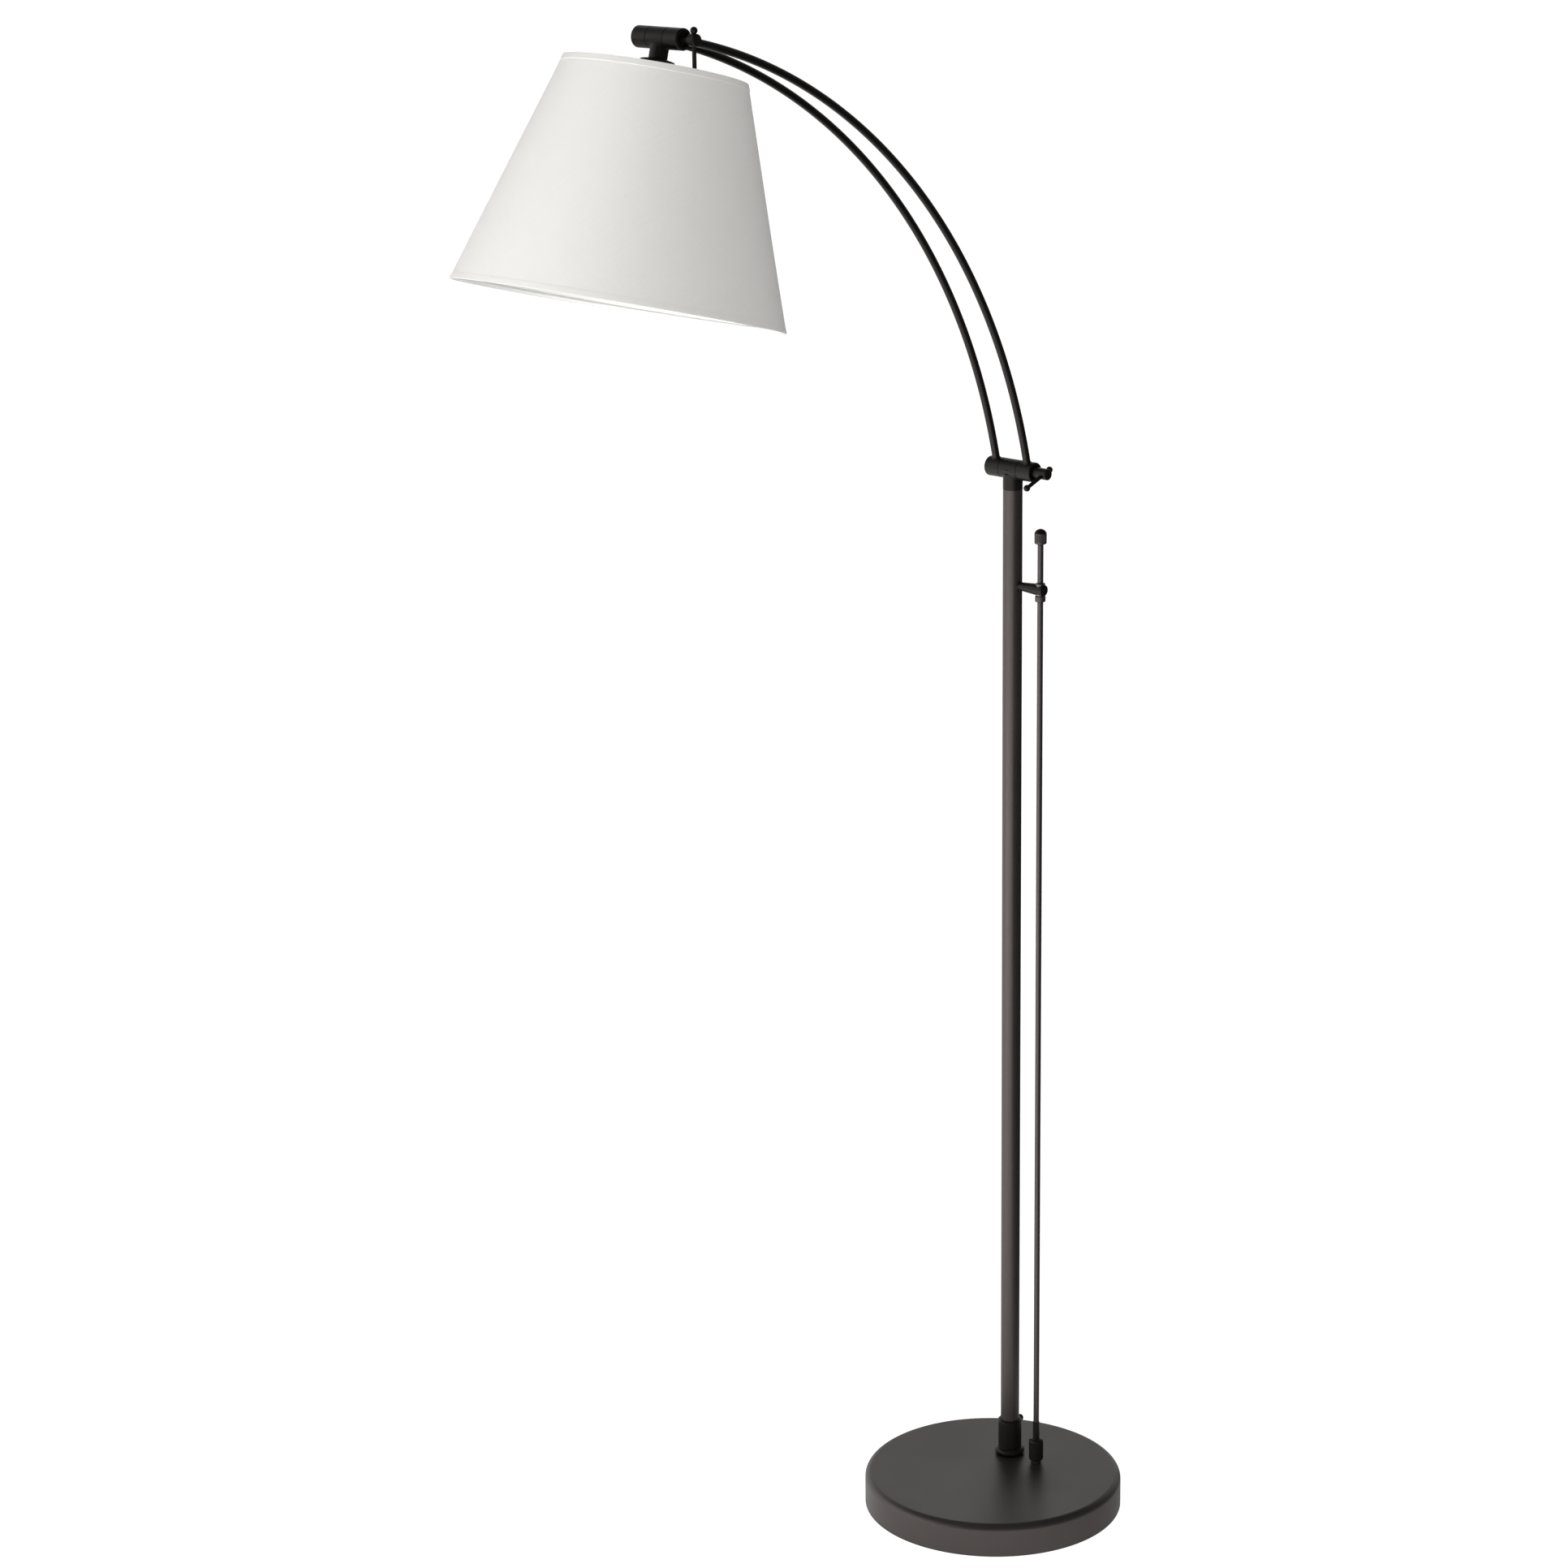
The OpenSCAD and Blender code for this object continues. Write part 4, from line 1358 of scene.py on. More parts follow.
class PoleAssembly(SubAssembly):
    """Socket with its rolled ring and set screw, and the pole tube."""

    sizes = PoleSizes()

    def socket(self) -> Mesh:
        """Returns the turned socket: rounded ring, groove, sleeve and rolled rim.

        Returns:
            The drilled socket.
        """
        s = self.sizes
        half = s.ring_height / 2
        rim = (s.socket_radius - s.rim + s.rim_out, s.socket_height - s.rim)
        outline: Outline = [(5.0, 0.0)]
        outline += arc((s.ring_radius - half, half), half, -90, 78, 14)
        outline += [
            (s.socket_radius - 0.5, s.ring_height - 0.1),
            (s.socket_radius - 0.7, s.ring_height + 0.5),
            (s.socket_radius, s.ring_height + 1.2),
            (s.socket_radius, rim[1] - s.rim - 0.4),
        ]
        outline += arc(rim, s.rim, -55, 90, 10)
        bore = s.radius + 0.05
        outline += [(bore + 0.4, s.socket_height), (bore, s.socket_height - 0.4)]
        outline += [(bore, s.foot), (5.0, s.foot)]
        blank = turned(outline, steps=128)
        height = s.socket_height - s.screw_drop
        inside, outside = Vector((8, 0, height)), Vector((18, 0, height))
        return drilled(blank, bar_between(inside, outside, s.screw_hole, 32))

    def set_screw(self) -> Mesh:
        """Returns the set screw: a grooved round head with a slot, and its shank.

        Returns:
            The slotted screw, along Z.
        """
        s = self.sizes
        start = s.radius + 0.1
        head = s.socket_radius + 1.0
        outline: Outline = [(0, start), (1.7, start), (2.0, start + 0.4), (2.0, head)]
        outline += [(3.6, head)]
        outline += [(4.0, head + rise) for rise in (0.4, 1.0, 4.2)]
        outline += arc((2.6, head + 4.6), 1.4, 0, 90, 6) + [(0, head + 6.0)]
        grip = flute(turned(outline, steps=120), 20, 0.3, head + 0.5, head + 4.5)
        slot = bmesh.new()
        bmesh.ops.create_cube(slot, size=1.0)
        shape = Matrix.Diagonal((1.0, 10.0, 2.4, 1.0))
        end = Matrix.Translation((0, 0, head + 6.0))
        return drilled(grip, moved(slot, end @ shape))

    def build(self) -> None:
        """Makes the pole's pieces."""
        s, layout = self.sizes, self.layout
        on_base = layout.upright(layout.pole, s.base_top)
        self.add(
            "pole_socket_sleeve",
            self.socket(),
            DARK_BRONZE,
            Body.STAND,
            on_base,
            "pole_socket",
        )
        top = layout.shoulder.z - s.tee_collar - s.base_top
        tube = turned(ring_outline(s.radius - s.wall, s.radius, s.foot, top), 0.25)
        self.add("pole_drawn_tube", tube, BRONZE, Body.STAND, on_base, "pole_tube")
        screw_seat = layout.upright(
            layout.pole, s.base_top + s.socket_height - s.screw_drop
        ) @ Matrix.Rotation(math.pi / 2, 4, "Y")
        self.add(
            "socket_set_screw",
            self.set_screw(),
            DARK_BRONZE,
            Body.SET_SCREW,
            screw_seat,
            "pole_set_screw",
        )


@dataclass
class RodSizes:
    """Sizes of the switch rod and its fittings in millimetres."""

    radius: float = 3.35
    nut_z: float = 40.0
    nut_radius: float = 5.9
    nut_height: float = 3.0
    coupler_z: float = 43.6
    coupler_radius: float = 8.6
    coupler_height: float = 27.5
    neck_radius: float = 3.9
    neck_height: float = 22.0
    bracket_z: float = 1112.0
    eye: float = 6.5
    root: float = 3.85
    offset: float = 42.0
    end: float = 6.0
    bush: float = 4.93
    rim: float = 5.83
    knob_rise: float = 53.0
    knob_radius: float = 6.95
    knob_height: float = 17.4
    knob_dome: float = 5.0
    grooves: int = 24


class SwitchRod(SubAssembly):
    """Switch rod beside the pole with its coupler, bracket, collar and knob."""

    sizes = RodSizes()

    def coupler(self) -> Mesh:
        """Returns the coupler with its rounded ends and the neck above it.

        Returns:
            The coupler.
        """
        s = self.sizes
        top, foot = 3.6, 2.6
        outline: Outline = [(3.0, 0.0)]
        outline += arc((s.coupler_radius - foot, foot), foot, -90, 0, 8)
        outline += arc((s.coupler_radius - top, s.coupler_height - top), top, 0, 84, 10)
        neck_top = s.coupler_height + s.neck_height
        outline += [
            (s.neck_radius + 0.5, s.coupler_height + 0.1),
            (s.neck_radius, s.coupler_height + 0.7),
            (s.neck_radius, neck_top - 0.3),
            (s.neck_radius - 0.3, neck_top),
            (s.radius, neck_top),
            (s.radius, s.coupler_height / 2),
            (3.0, s.coupler_height / 2),
        ]
        return turned(outline)

    def bracket(self) -> Mesh:
        """Returns the tapered bracket arm with its recessed round end, drilled.

        Returns:
            The drilled bracket, along Z.
        """
        s = self.sizes
        arm, end = s.offset - s.eye, s.offset + s.end
        inside = 10.2
        root = s.root + (s.eye - s.root) * inside / arm
        outline: Outline = [(0, inside), (root, inside), (s.eye - 0.05, arm - 1.0)]
        outline += [(s.eye, arm + 0.6), (s.eye, end - 0.7), (s.eye - 0.2, end - 0.25)]
        outline += [(s.eye - 0.7, end), (4.6, end), (4.4, end - 0.2), (4.4, end - 1.2)]
        outline += [(0, end - 1.2)]
        along = Vector((0, 10, 0))
        centre = Vector((0, 0, s.offset))
        return drilled(
            turned(outline), bar_between(centre - along, centre + along, s.bush, 48)
        )

    def grip(self) -> Mesh:
        """Returns the knob's grooved side.

        Returns:
            The grooved side.
        """
        s = self.sizes
        side = s.knob_height - s.knob_dome
        outline: Outline = [(s.radius, 0.0)]
        outline += arc((s.knob_radius - 2.0, 2.0), 2.0, -90, 0, 6)
        grooved = (2.6, 3.0, side - 1.4, side - 1.0)
        outline += [(s.knob_radius, height) for height in grooved]
        outline += [(s.knob_radius, side - 0.25), (s.knob_radius - 0.25, side)]
        outline += [(s.radius, side)]
        return flute(turned(outline, steps=240), s.grooves, 0.55, 2.7, side - 1.2)

    def cap(self) -> Mesh:
        """Returns the knob's smooth domed top.

        Returns:
            The domed top.
        """
        s = self.sizes
        side = s.knob_height - s.knob_dome
        dome = (s.knob_radius**2 + s.knob_dome**2) / (2 * s.knob_dome)
        centre = s.knob_height - dome
        start = math.degrees(math.asin((side - centre) / dome)) + 1.5
        outline: Outline = [(0, side - 0.4), (s.knob_radius - 0.6, side - 0.4)]
        return turned(outline + arc((0, centre), dome, start, 90, 14))

    def build(self) -> None:
        """Makes the rod's pieces."""
        s, layout = self.sizes, self.layout

        def at(height: float) -> Matrix:
            """Frame on the rod's axis at a height."""
            return layout.upright(layout.rod, height)

        rows = [0.4, 0.6, s.nut_height - 0.5, s.nut_height - 0.3]
        outline: Outline = [(5.0, 0.0), (s.nut_radius - 0.3, 0.0)]
        outline += [(s.nut_radius, row) for row in rows]
        outline += [(s.nut_radius - 0.3, s.nut_height), (5.0, s.nut_height)]
        nut = flute(turned(outline, steps=144), 18, 0.3, 0.5, 2.6)
        seat = at(s.nut_z)
        self.add("switch_bushing_nut", nut, BRONZE, Body.STAND, seat, "dimmer_nut")
        self.add(
            "switch_rod_coupler",
            self.coupler(),
            DARK_BRONZE,
            Body.SWITCH,
            at(s.coupler_z),
            "rod_coupler",
        )
        low = s.coupler_z + s.coupler_height / 2 + 1
        high = s.bracket_z + s.knob_rise + 12
        self.add(
            "switch_long_rod",
            turned(ring_outline(0, s.radius, low, high), 0.3, 64),
            BRONZE,
            Body.SWITCH,
            at(0),
            "switch_rod",
        )
        outline = [(s.radius, 0), (5.3, 0), (6.0, 0.7)]
        outline += [(6.0, 6.2), (5.6, 6.6), (s.radius, 6.6)]
        collar = turned(outline, 0.1)
        below = s.bracket_z - s.eye
        seat = at(below - 6.9)
        self.add("switch_rod_collar", collar, BRONZE, Body.SWITCH, seat, "rod_collar")
        root_point = layout.pole + Vector((0, 0, s.bracket_z))
        self.add(
            "switch_bracket_arm",
            self.bracket(),
            DARK_BRONZE,
            Body.STAND,
            layout.barrel(root_point),
            "switch_bracket",
        )
        root = s.root + (s.eye - s.root) * PoleSizes.radius / (s.offset - s.eye)
        self.add(
            "bracket_root_bead",
            bead(root, PoleSizes.radius, 0.8),
            DARK_BRONZE,
            Body.STAND,
            layout.branch(root_point, Vector((0, -1, 0)), Vector((0, 0, 1))),
        )
        bush = [(s.radius + 0.08, 0.0), (s.bush, 0.0), (s.bush, 13.0), (s.rim, 13.0)]
        bush += [(s.rim, 13.8), (s.rim - 0.6, 14.4), (s.radius + 0.4, 14.4)]
        bush += [(s.radius + 0.08, 14.1)]
        bush = turned(bush, 0.08, 72)
        self.add("rod_bearing_bush", bush, STEEL, Body.STAND, at(below), "bracket_bush")
        knob = at(s.bracket_z + s.knob_rise)
        for name, mesh, finish in (
            ("knob_grooved_grip", self.grip(), BRONZE),
            ("knob_domed_cap", self.cap(), DARK_BRONZE),
        ):
            self.add(name, mesh, finish, Body.SWITCH, knob, "rod_knob")


@dataclass(frozen=True)
class ClampSizes:
    """Sizes that differ between the two clamp joints, in millimetres.

    Attributes:
        middle: Length of the barrel's middle section.
        boss_from: Start of the screw's boss, past the barrel's near end.
        boss_to: End of the boss, past the barrel's near end.
        neck: Radius of the neck under the boss, or 0 for none.
        bar_inset: Distance from the boss's end to the T-bar.
        bar_angle: How far the T-bar is turned, in degrees.
    """

    middle: float
    boss_from: float
    boss_to: float
    neck: float
    bar_inset: float
    bar_angle: float


@dataclass
class BarrelSizes:
    """Sizes that both clamp joints share, in millimetres."""

    radius: float = 11.25
    hub: float = 20.5
    washer: float = 0.6
    chamfer: float = 0.8
    recess: float = 8.2
    near_recess: float = 3.5
    far_recess: float = 4.8
    plug: float = 1.6
    hole: float = 3.08
    boss: float = 6.4
    bar: float = 2.2
    ball: float = 3.8
    span: float = 41.0
    short_end: float = 9.56
    screw: float = 3.0
    cross_hole: float = 2.28


class ClampJoint(SubAssembly):
    """A friction clamp: barrel in three sections, clamp screw and sliding T-bar.

    Args:
        layout: Where the joints are.
        name: Name of the joint, shoulder or head.
        point: Middle of its barrel.
        sizes: Its own sizes.
        bodies: Bodies of its middle section, its screw and its bar.
    """

    shared = BarrelSizes()

    def __init__(
        self,
        layout: Layout,
        name: str,
        point: Vector,
        sizes: ClampSizes,
        bodies: tuple[Body, Body, Body],
    ) -> None:
        """Keeps the joint's own values.

        Args:
            layout: Where the joints are.
            name: Name of the joint, shoulder or head.
            point: Middle of its barrel.
            sizes: Its own sizes.
            bodies: Bodies of its middle section, its screw and its bar.
        """
        super().__init__(layout)
        self.name = name
        self.seat = layout.barrel(point)
        self.sizes = sizes
        self.bodies = bodies
        self.hub_start = sizes.middle / 2 + self.shared.washer
        near_end = self.hub_start + self.shared.hub
        self.boss_start = near_end + sizes.boss_from
        self.boss_end = near_end + sizes.boss_to

    def hub(self, side: Side) -> Mesh:
        """Returns an outer section of the barrel with its recessed end.

        Args:
            side: Which end of the barrel.

        Returns:
            The section.
        """
        b = self.shared
        start, end = self.hub_start, self.hub_start + b.hub
        floor = end - (b.near_recess if side is Side.NEAR else b.far_recess)
        made = turned(
            [
                (b.hole, start),
                (b.radius, start),
                (b.radius, end - b.chamfer),
                (b.radius - b.chamfer, end),
                (b.recess, end),
                (b.recess, floor),
                (b.hole, floor),
            ],
            0.22,
        )
        bmesh.ops.scale(made, vec=(1, 1, side.value), verts=list(made.verts))
        return made

    def screw(self) -> Mesh:
        """Returns the clamp screw with its neck and its cross-drilled boss.

        Returns:
            The drilled screw.
        """
        b, s = self.shared, self.sizes
        start, end = self.boss_start, self.boss_end
        far = -self.hub_start - b.hub + b.plug + 0.2
        floor = self.hub_start + b.hub - b.near_recess + 0.1
        outline: Outline = [(0, far), (b.screw, far), (b.screw, floor)]
        if s.neck > 0:
            outline += [(s.neck, floor), (s.neck, start - 0.6)]
            outline += [(s.neck + 0.5, start), (b.boss - 0.6, start)]
            outline += [(b.boss, start + 0.6)]
        else:
            outline += [(b.boss, start)]
        outline += [(b.boss, end - 0.9), (b.boss - 0.9, end), (0, end)]
        angle = math.radians(s.bar_angle)
        across = Vector((math.cos(angle), math.sin(angle), 0)) * 10
        lift = Vector((0, 0, end - s.bar_inset))
        hole = bar_between(lift - across, lift + across, b.cross_hole, 48)
        return drilled(turned(outline, 0.2), hole)

    def tee_bar(self) -> Mesh:
        """Returns the T-bar with a ball at each end, along X in its own frame.

        Returns:
            The bar.
        """
        b = self.shared
        meet = math.degrees(math.acos(b.bar / b.ball))
        outline = arc((0, 0), b.ball, -90, meet, 14)
        outline += arc((0, b.span), b.ball, -meet, 90, 14)
        shift = Matrix.Translation((b.short_end - b.span, 0, 0))
        lay = shift @ Matrix.Rotation(math.pi / 2, 4, "Y")
        return moved(turned(outline, steps=48), lay)

    def build(self) -> None:
        """Makes the joint's pieces."""
        b, s, name = self.shared, self.sizes, self.name
        middle_body, screw_body, bar_body = self.bodies
        half = s.middle / 2
        outer = -self.hub_start - b.hub
        plug = turned(
            [(0, outer), (4.0, outer + 0.15), (b.recess - 0.5, outer + 0.3)]
            + [(b.recess - 0.05, outer + 0.7), (b.recess - 0.05, outer + b.plug)]
            + [(0, outer + b.plug)]
        )
        middle = turned(ring_outline(b.hole, b.radius, -half, half), 0.3)
        rows = [(f"{name}_barrel_middle", middle, middle_body, f"{name}_tee")]
        for side in Side:
            word = side.name.lower()
            end = (self.hub(side), Body.ARM, f"{word}_{name}_hub")
            rows.append((f"{word}_{name}_barrel_end", *end))
        rows += [
            (f"{name}_end_plug", plug, Body.ARM, "barrel_end_plugs"),
            (f"{name}_clamp_boss", self.screw(), screw_body, f"{name}_clamp_screw"),
        ]
        for piece, mesh, body, node in rows:
            self.add(piece, mesh, DARK_BRONZE, body, self.seat, node)
        bar_seat = (
            self.seat
            @ Matrix.Translation((0, 0, self.boss_end - s.bar_inset))
            @ Matrix.Rotation(math.radians(s.bar_angle), 4, "Z")
        )
        self.add(
            f"{name}_clamp_bar",
            self.tee_bar(),
            DARK_BRONZE,
            bar_body,
            bar_seat,
            f"{name}_tee_bar",
        )


@dataclass
class ArmSizes:
    """Sizes of the arched arm in millimetres."""

    radius: float = 662.5
    tube: float = 4.3
    gap: float = 46.0
    seat: float = 5.6
    barrel: float = 11.25


class ArmPair(SubAssembly):
    """Two parallel arched tubes with a braze bead at each end, and the tee's collar."""

    sizes = ArmSizes()

    def __init__(self, layout: Layout) -> None:
        """Works out the arc through both joints.

        Args:
            layout: Where the joints are.
        """
        super().__init__(layout)
        s = self.sizes
        run, rise = layout.shoulder.x - layout.head.x, layout.head.z - layout.shoulder.z
        half = math.asin(math.hypot(run, rise) / 2 / s.radius)
        self.start = math.pi / 2 - math.atan2(rise, run) - half
        self.sweep = 2 * half
        self.centre = layout.shoulder - Vector(
            (s.radius * math.cos(self.start), 0, s.radius * math.sin(self.start))
        )

    def tube(self, side: Side) -> Mesh:
        """Returns one arched tube, a circle spun about the arc's centre.

        Args:
            side: Which of the two tubes.

        Returns:
            The tube, closed at both ends.
        """
        s = self.sizes
        trim = s.seat / s.radius
        centre = self.centre - Vector((0, side.value * s.gap / 2, 0))
        bm = bmesh.new()
        bmesh.ops.create_circle(bm, cap_ends=False, radius=s.tube, segments=40)
        angle = self.start + trim
        lift = (
            Matrix.Translation(centre)
            @ Matrix.Rotation(-angle, 4, "Y")
            @ Matrix.Translation((s.radius, 0, 0))
        )
        moved(bm, lift)
        bmesh.ops.spin(
            bm,
            geom=list(bm.verts) + list(bm.edges),
            cent=centre,
            axis=(0, -1, 0),
            dvec=(0, 0, 0),
            angle=self.sweep - 2 * trim,
            steps=128,
        )
        return capped(bm)

    def build(self) -> None:
        """Makes both tubes and their beads."""
        s, layout = self.sizes, self.layout
        trim = s.seat / s.radius / 2
        leaving = self.start + math.pi / 2 + trim
        arriving = self.start + self.sweep - math.pi / 2 - trim
        for side in Side:
            word = side.name.lower()
            self.add(
                f"{word}_arched_tube",
                self.tube(side),
                DARK_BRONZE,
                Body.ARM,
                Matrix.Identity(4),
                f"{word}_arm_tube",
            )
            for joint, point, angle in (
                ("shoulder", layout.shoulder, leaving),
                ("head", layout.head, arriving),
            ):
                direction = Vector((math.cos(angle), 0, math.sin(angle)))
                offset = Vector((0, -side.value * s.gap / 2, 0))
                self.add(
                    f"{word}_{joint}_braze_bead",
                    bead(s.tube, s.barrel, 0.85),
                    DARK_BRONZE,
                    Body.ARM,
                    layout.branch(point + offset, direction, Vector((0, 1, 0))),
                )
        collar_seat = layout.upright(layout.shoulder)
        low, high = -PoleSizes.tee_collar, -5.0
        collar = turned(ring_outline(0.0, s.barrel, low, high), 0.25)
        self.add(
            "shoulder_tee_collar",
            collar,
            DARK_BRONZE,
            Body.STAND,
            collar_seat,
            "shoulder_tee",
        )
        self.add(
            "shoulder_tee_bead",
            bead(11.2, s.barrel, 0.8),
            DARK_BRONZE,
            Body.STAND,
            layout.branch(layout.shoulder, Vector((0, 0, -1)), Vector((0, 1, 0))),
        )


@dataclass
class HeadSizes:
    """Sizes of the lamp head below the head axis, in millimetres."""

    tilt: float = 14.3
    stem: float = 9.65
    stem_length: float = 24.0
    disc: float = 17.8
    disc_bottom: float = 27.0
    cap_top: float = 13.0
    holder: float = 19.5
    cap_bottom: float = 40.0
    lip: float = 22.3
    lip_bottom: float = 43.0
    skirt_bottom: float = 74.0
    bore: float = 13.8
    nut_top: float = 44.6
    nut_bottom: float = 50.6
    nut: float = 24.5
    bulb_cap: float = 13.0
    bulb_cap_top: float = 50.0
    bulb_seat: float = 75.0
    bulb: float = 30.0
    bulb_length: float = 90.0


class LampHead(SubAssembly):
    """Stem, disc, lamp holder and bulb, all on the shade's tilted axis."""

    sizes = HeadSizes()

    def __init__(self, layout: Layout) -> None:
        """Works out the shade's tilted frame.

        Args:
            layout: Where the joints are.
        """
        super().__init__(layout)
        tilt = Matrix.Rotation(math.radians(self.sizes.tilt), 4, "Y")
        self.seat = Matrix.Translation(layout.head) @ tilt

    def glass(self) -> Mesh:
        """Returns the thin bulb with its neck flowing into the globe.

        Returns:
            The hollow bulb.
        """
        s = self.sizes
        centre = -s.bulb_seat - s.bulb_length + s.bulb
        outer: Outline = [
            (13.4, 0.6),
            (14.2, -2.0),
            (14.8, -7.0),
            (15.9, -13.0),
            (17.9, -20.0),
            (20.6, -27.0),
            (23.5, -34.0),
            (26.2, -42.0),
            (28.3, -50.0),
        ]
        outer = [(radius, height - s.bulb_seat) for radius, height in outer]
        globe = arc((0, centre), s.bulb, 12, -90, 22)
        inner = [(radius - 1.0, height) for radius, height in outer]
        hollow = arc((0, centre), s.bulb - 1.0, 12, -90, 22)
        return turned(outer + globe + hollow[::-1] + inner[::-1], steps=96)

    def bulb_cap(self) -> Mesh:
        """Returns the bulb's cap with its rolled thread and contact.

        Returns:
            The cap.
        """
        s = self.sizes
        top, seat = -s.bulb_cap_top, -s.bulb_seat
        body = turned(
            [(0, seat), (s.bulb_cap - 0.2, seat), (s.bulb_cap - 0.6, seat + 2)]
            + [(s.bulb_cap - 1.0, seat + 3), (s.bulb_cap - 1.0, top - 5)]
            + [(s.bulb_cap - 3.5, top - 2.6), (4.6, top - 0.6), (3.2, top), (0, top)],
            steps=72,
        )
        return joined(body, thread(s.bulb_cap - 1.0, seat + 4.2, 3.6, 4.2, 0.95))

    def skirt(self) -> Mesh:
        """Returns the holder's skirt with its lip and outside thread.

        Returns:
            The skirt.
        """
        s = self.sizes
        body = turned(
            [
                (5.0, -s.cap_bottom),
                (s.lip, -s.cap_bottom),
                (s.lip, -s.lip_bottom),
                (s.holder, -s.lip_bottom),
                (s.holder, -s.skirt_bottom),
                (s.bore, -s.skirt_bottom),
                (s.bore, -49.0),
                (5.0, -49.0),
            ],
            0.35,
        )
        return joined(body, thread(s.holder, -s.skirt_bottom + 2, 2.4, 8, 0.55))

    def build(self) -> None:
        """Makes the head's pieces."""
        s, layout = self.sizes, self.layout
        stem = turned(ring_outline(0.0, s.stem, -s.stem_length, -5.0), 0.3)
        self.add("head_tee_stem", stem, DARK_BRONZE, Body.HEAD, self.seat, "head_tee")
        down = self.seat.to_3x3() @ Vector((0, 0, -1))
        self.add(
            "head_tee_bead",
            bead(s.stem, BarrelSizes.radius, 0.8),
            DARK_BRONZE,
            Body.HEAD,
            layout.branch(layout.head, down, Vector((0, 1, 0))),
        )
        disc = turned(
            [(5, -s.disc_bottom), (s.disc - 4.0, -s.disc_bottom)]
            + arc((s.disc - 1.4, -s.disc_bottom + 3.2), 1.4, -60, 70, 8)
            + [(s.disc - 4.0, -s.disc_bottom + 5.2)]
            + [(radius, -s.stem_length + 2.8) for radius in (s.stem + 1.0, s.stem, 5)]
        )
        cap = turned(
            [(5, -s.disc_bottom), (s.cap_top - 1.0, -s.disc_bottom)]
            + [(s.cap_top, -s.disc_bottom - 0.8), (s.cap_top + 3.8, -34.0)]
            + [(s.holder - 0.2, -s.cap_bottom + 1.2), (s.holder, -s.cap_bottom)]
            + [(s.holder - 1.2, -s.cap_bottom), (s.cap_top - 1.2, -s.disc_bottom - 1.4)]
            + [(5, -s.disc_bottom - 1.4)],
            0.15,
        )
        low, high = -s.nut_bottom, -s.nut_top
        sides = [(s.nut, low + step) for step in (0.4, 0.8, 1.2)]
        sides += [(s.nut, high - step) for step in (1.2, 0.8, 0.4)]
        foot = [(s.holder, low), (s.nut - 0.4, low)]
        head = [(s.nut - 0.4, high), (s.holder, high)]
        ring = turned([*foot, *sides, *head], steps=192)
        ring = flute(ring, 24, 0.7, low + 0.5, high - 0.5)
        for name, mesh, finish, node in (
            ("shade_cover_disc", disc, DARK_BRONZE, "shade_disc"),
            ("holder_domed_cap", cap, DARK_BRONZE, "holder_cap"),
            ("holder_threaded_skirt", self.skirt(), BLACK_PLASTIC, "holder_skirt"),
            ("shade_grip_ring", ring, BLACK_PLASTIC, "shade_ring_nut"),
            ("bulb_threaded_cap", self.bulb_cap(), CAP_METAL, "bulb_cap"),
            ("bulb_opal_globe", self.glass(), OPAL, "bulb_glass"),
        ):
            self.add(name, mesh, finish, Body.HEAD, self.seat, node)


@dataclass
class ShadeSizes:
    """Sizes of the shade in millimetres, depths below the head axis."""

    top_radius: float = 94.0
    bottom_radius: float = 171.5
    top: float = 32.0
    height: float = 238.0
    cloth: float = 0.8
    liner: float = 0.6
    tape: float = 6.0
    tape_thickness: float = 0.3
    wire: float = 1.8
    wire_gap: float = 0.2
    spider_z: float = 43.0
    spider: float = 1.6
    seam_width: float = 13.0
    seam_angle: float = 47.0
    rows: int = 28
    steps: int = 192


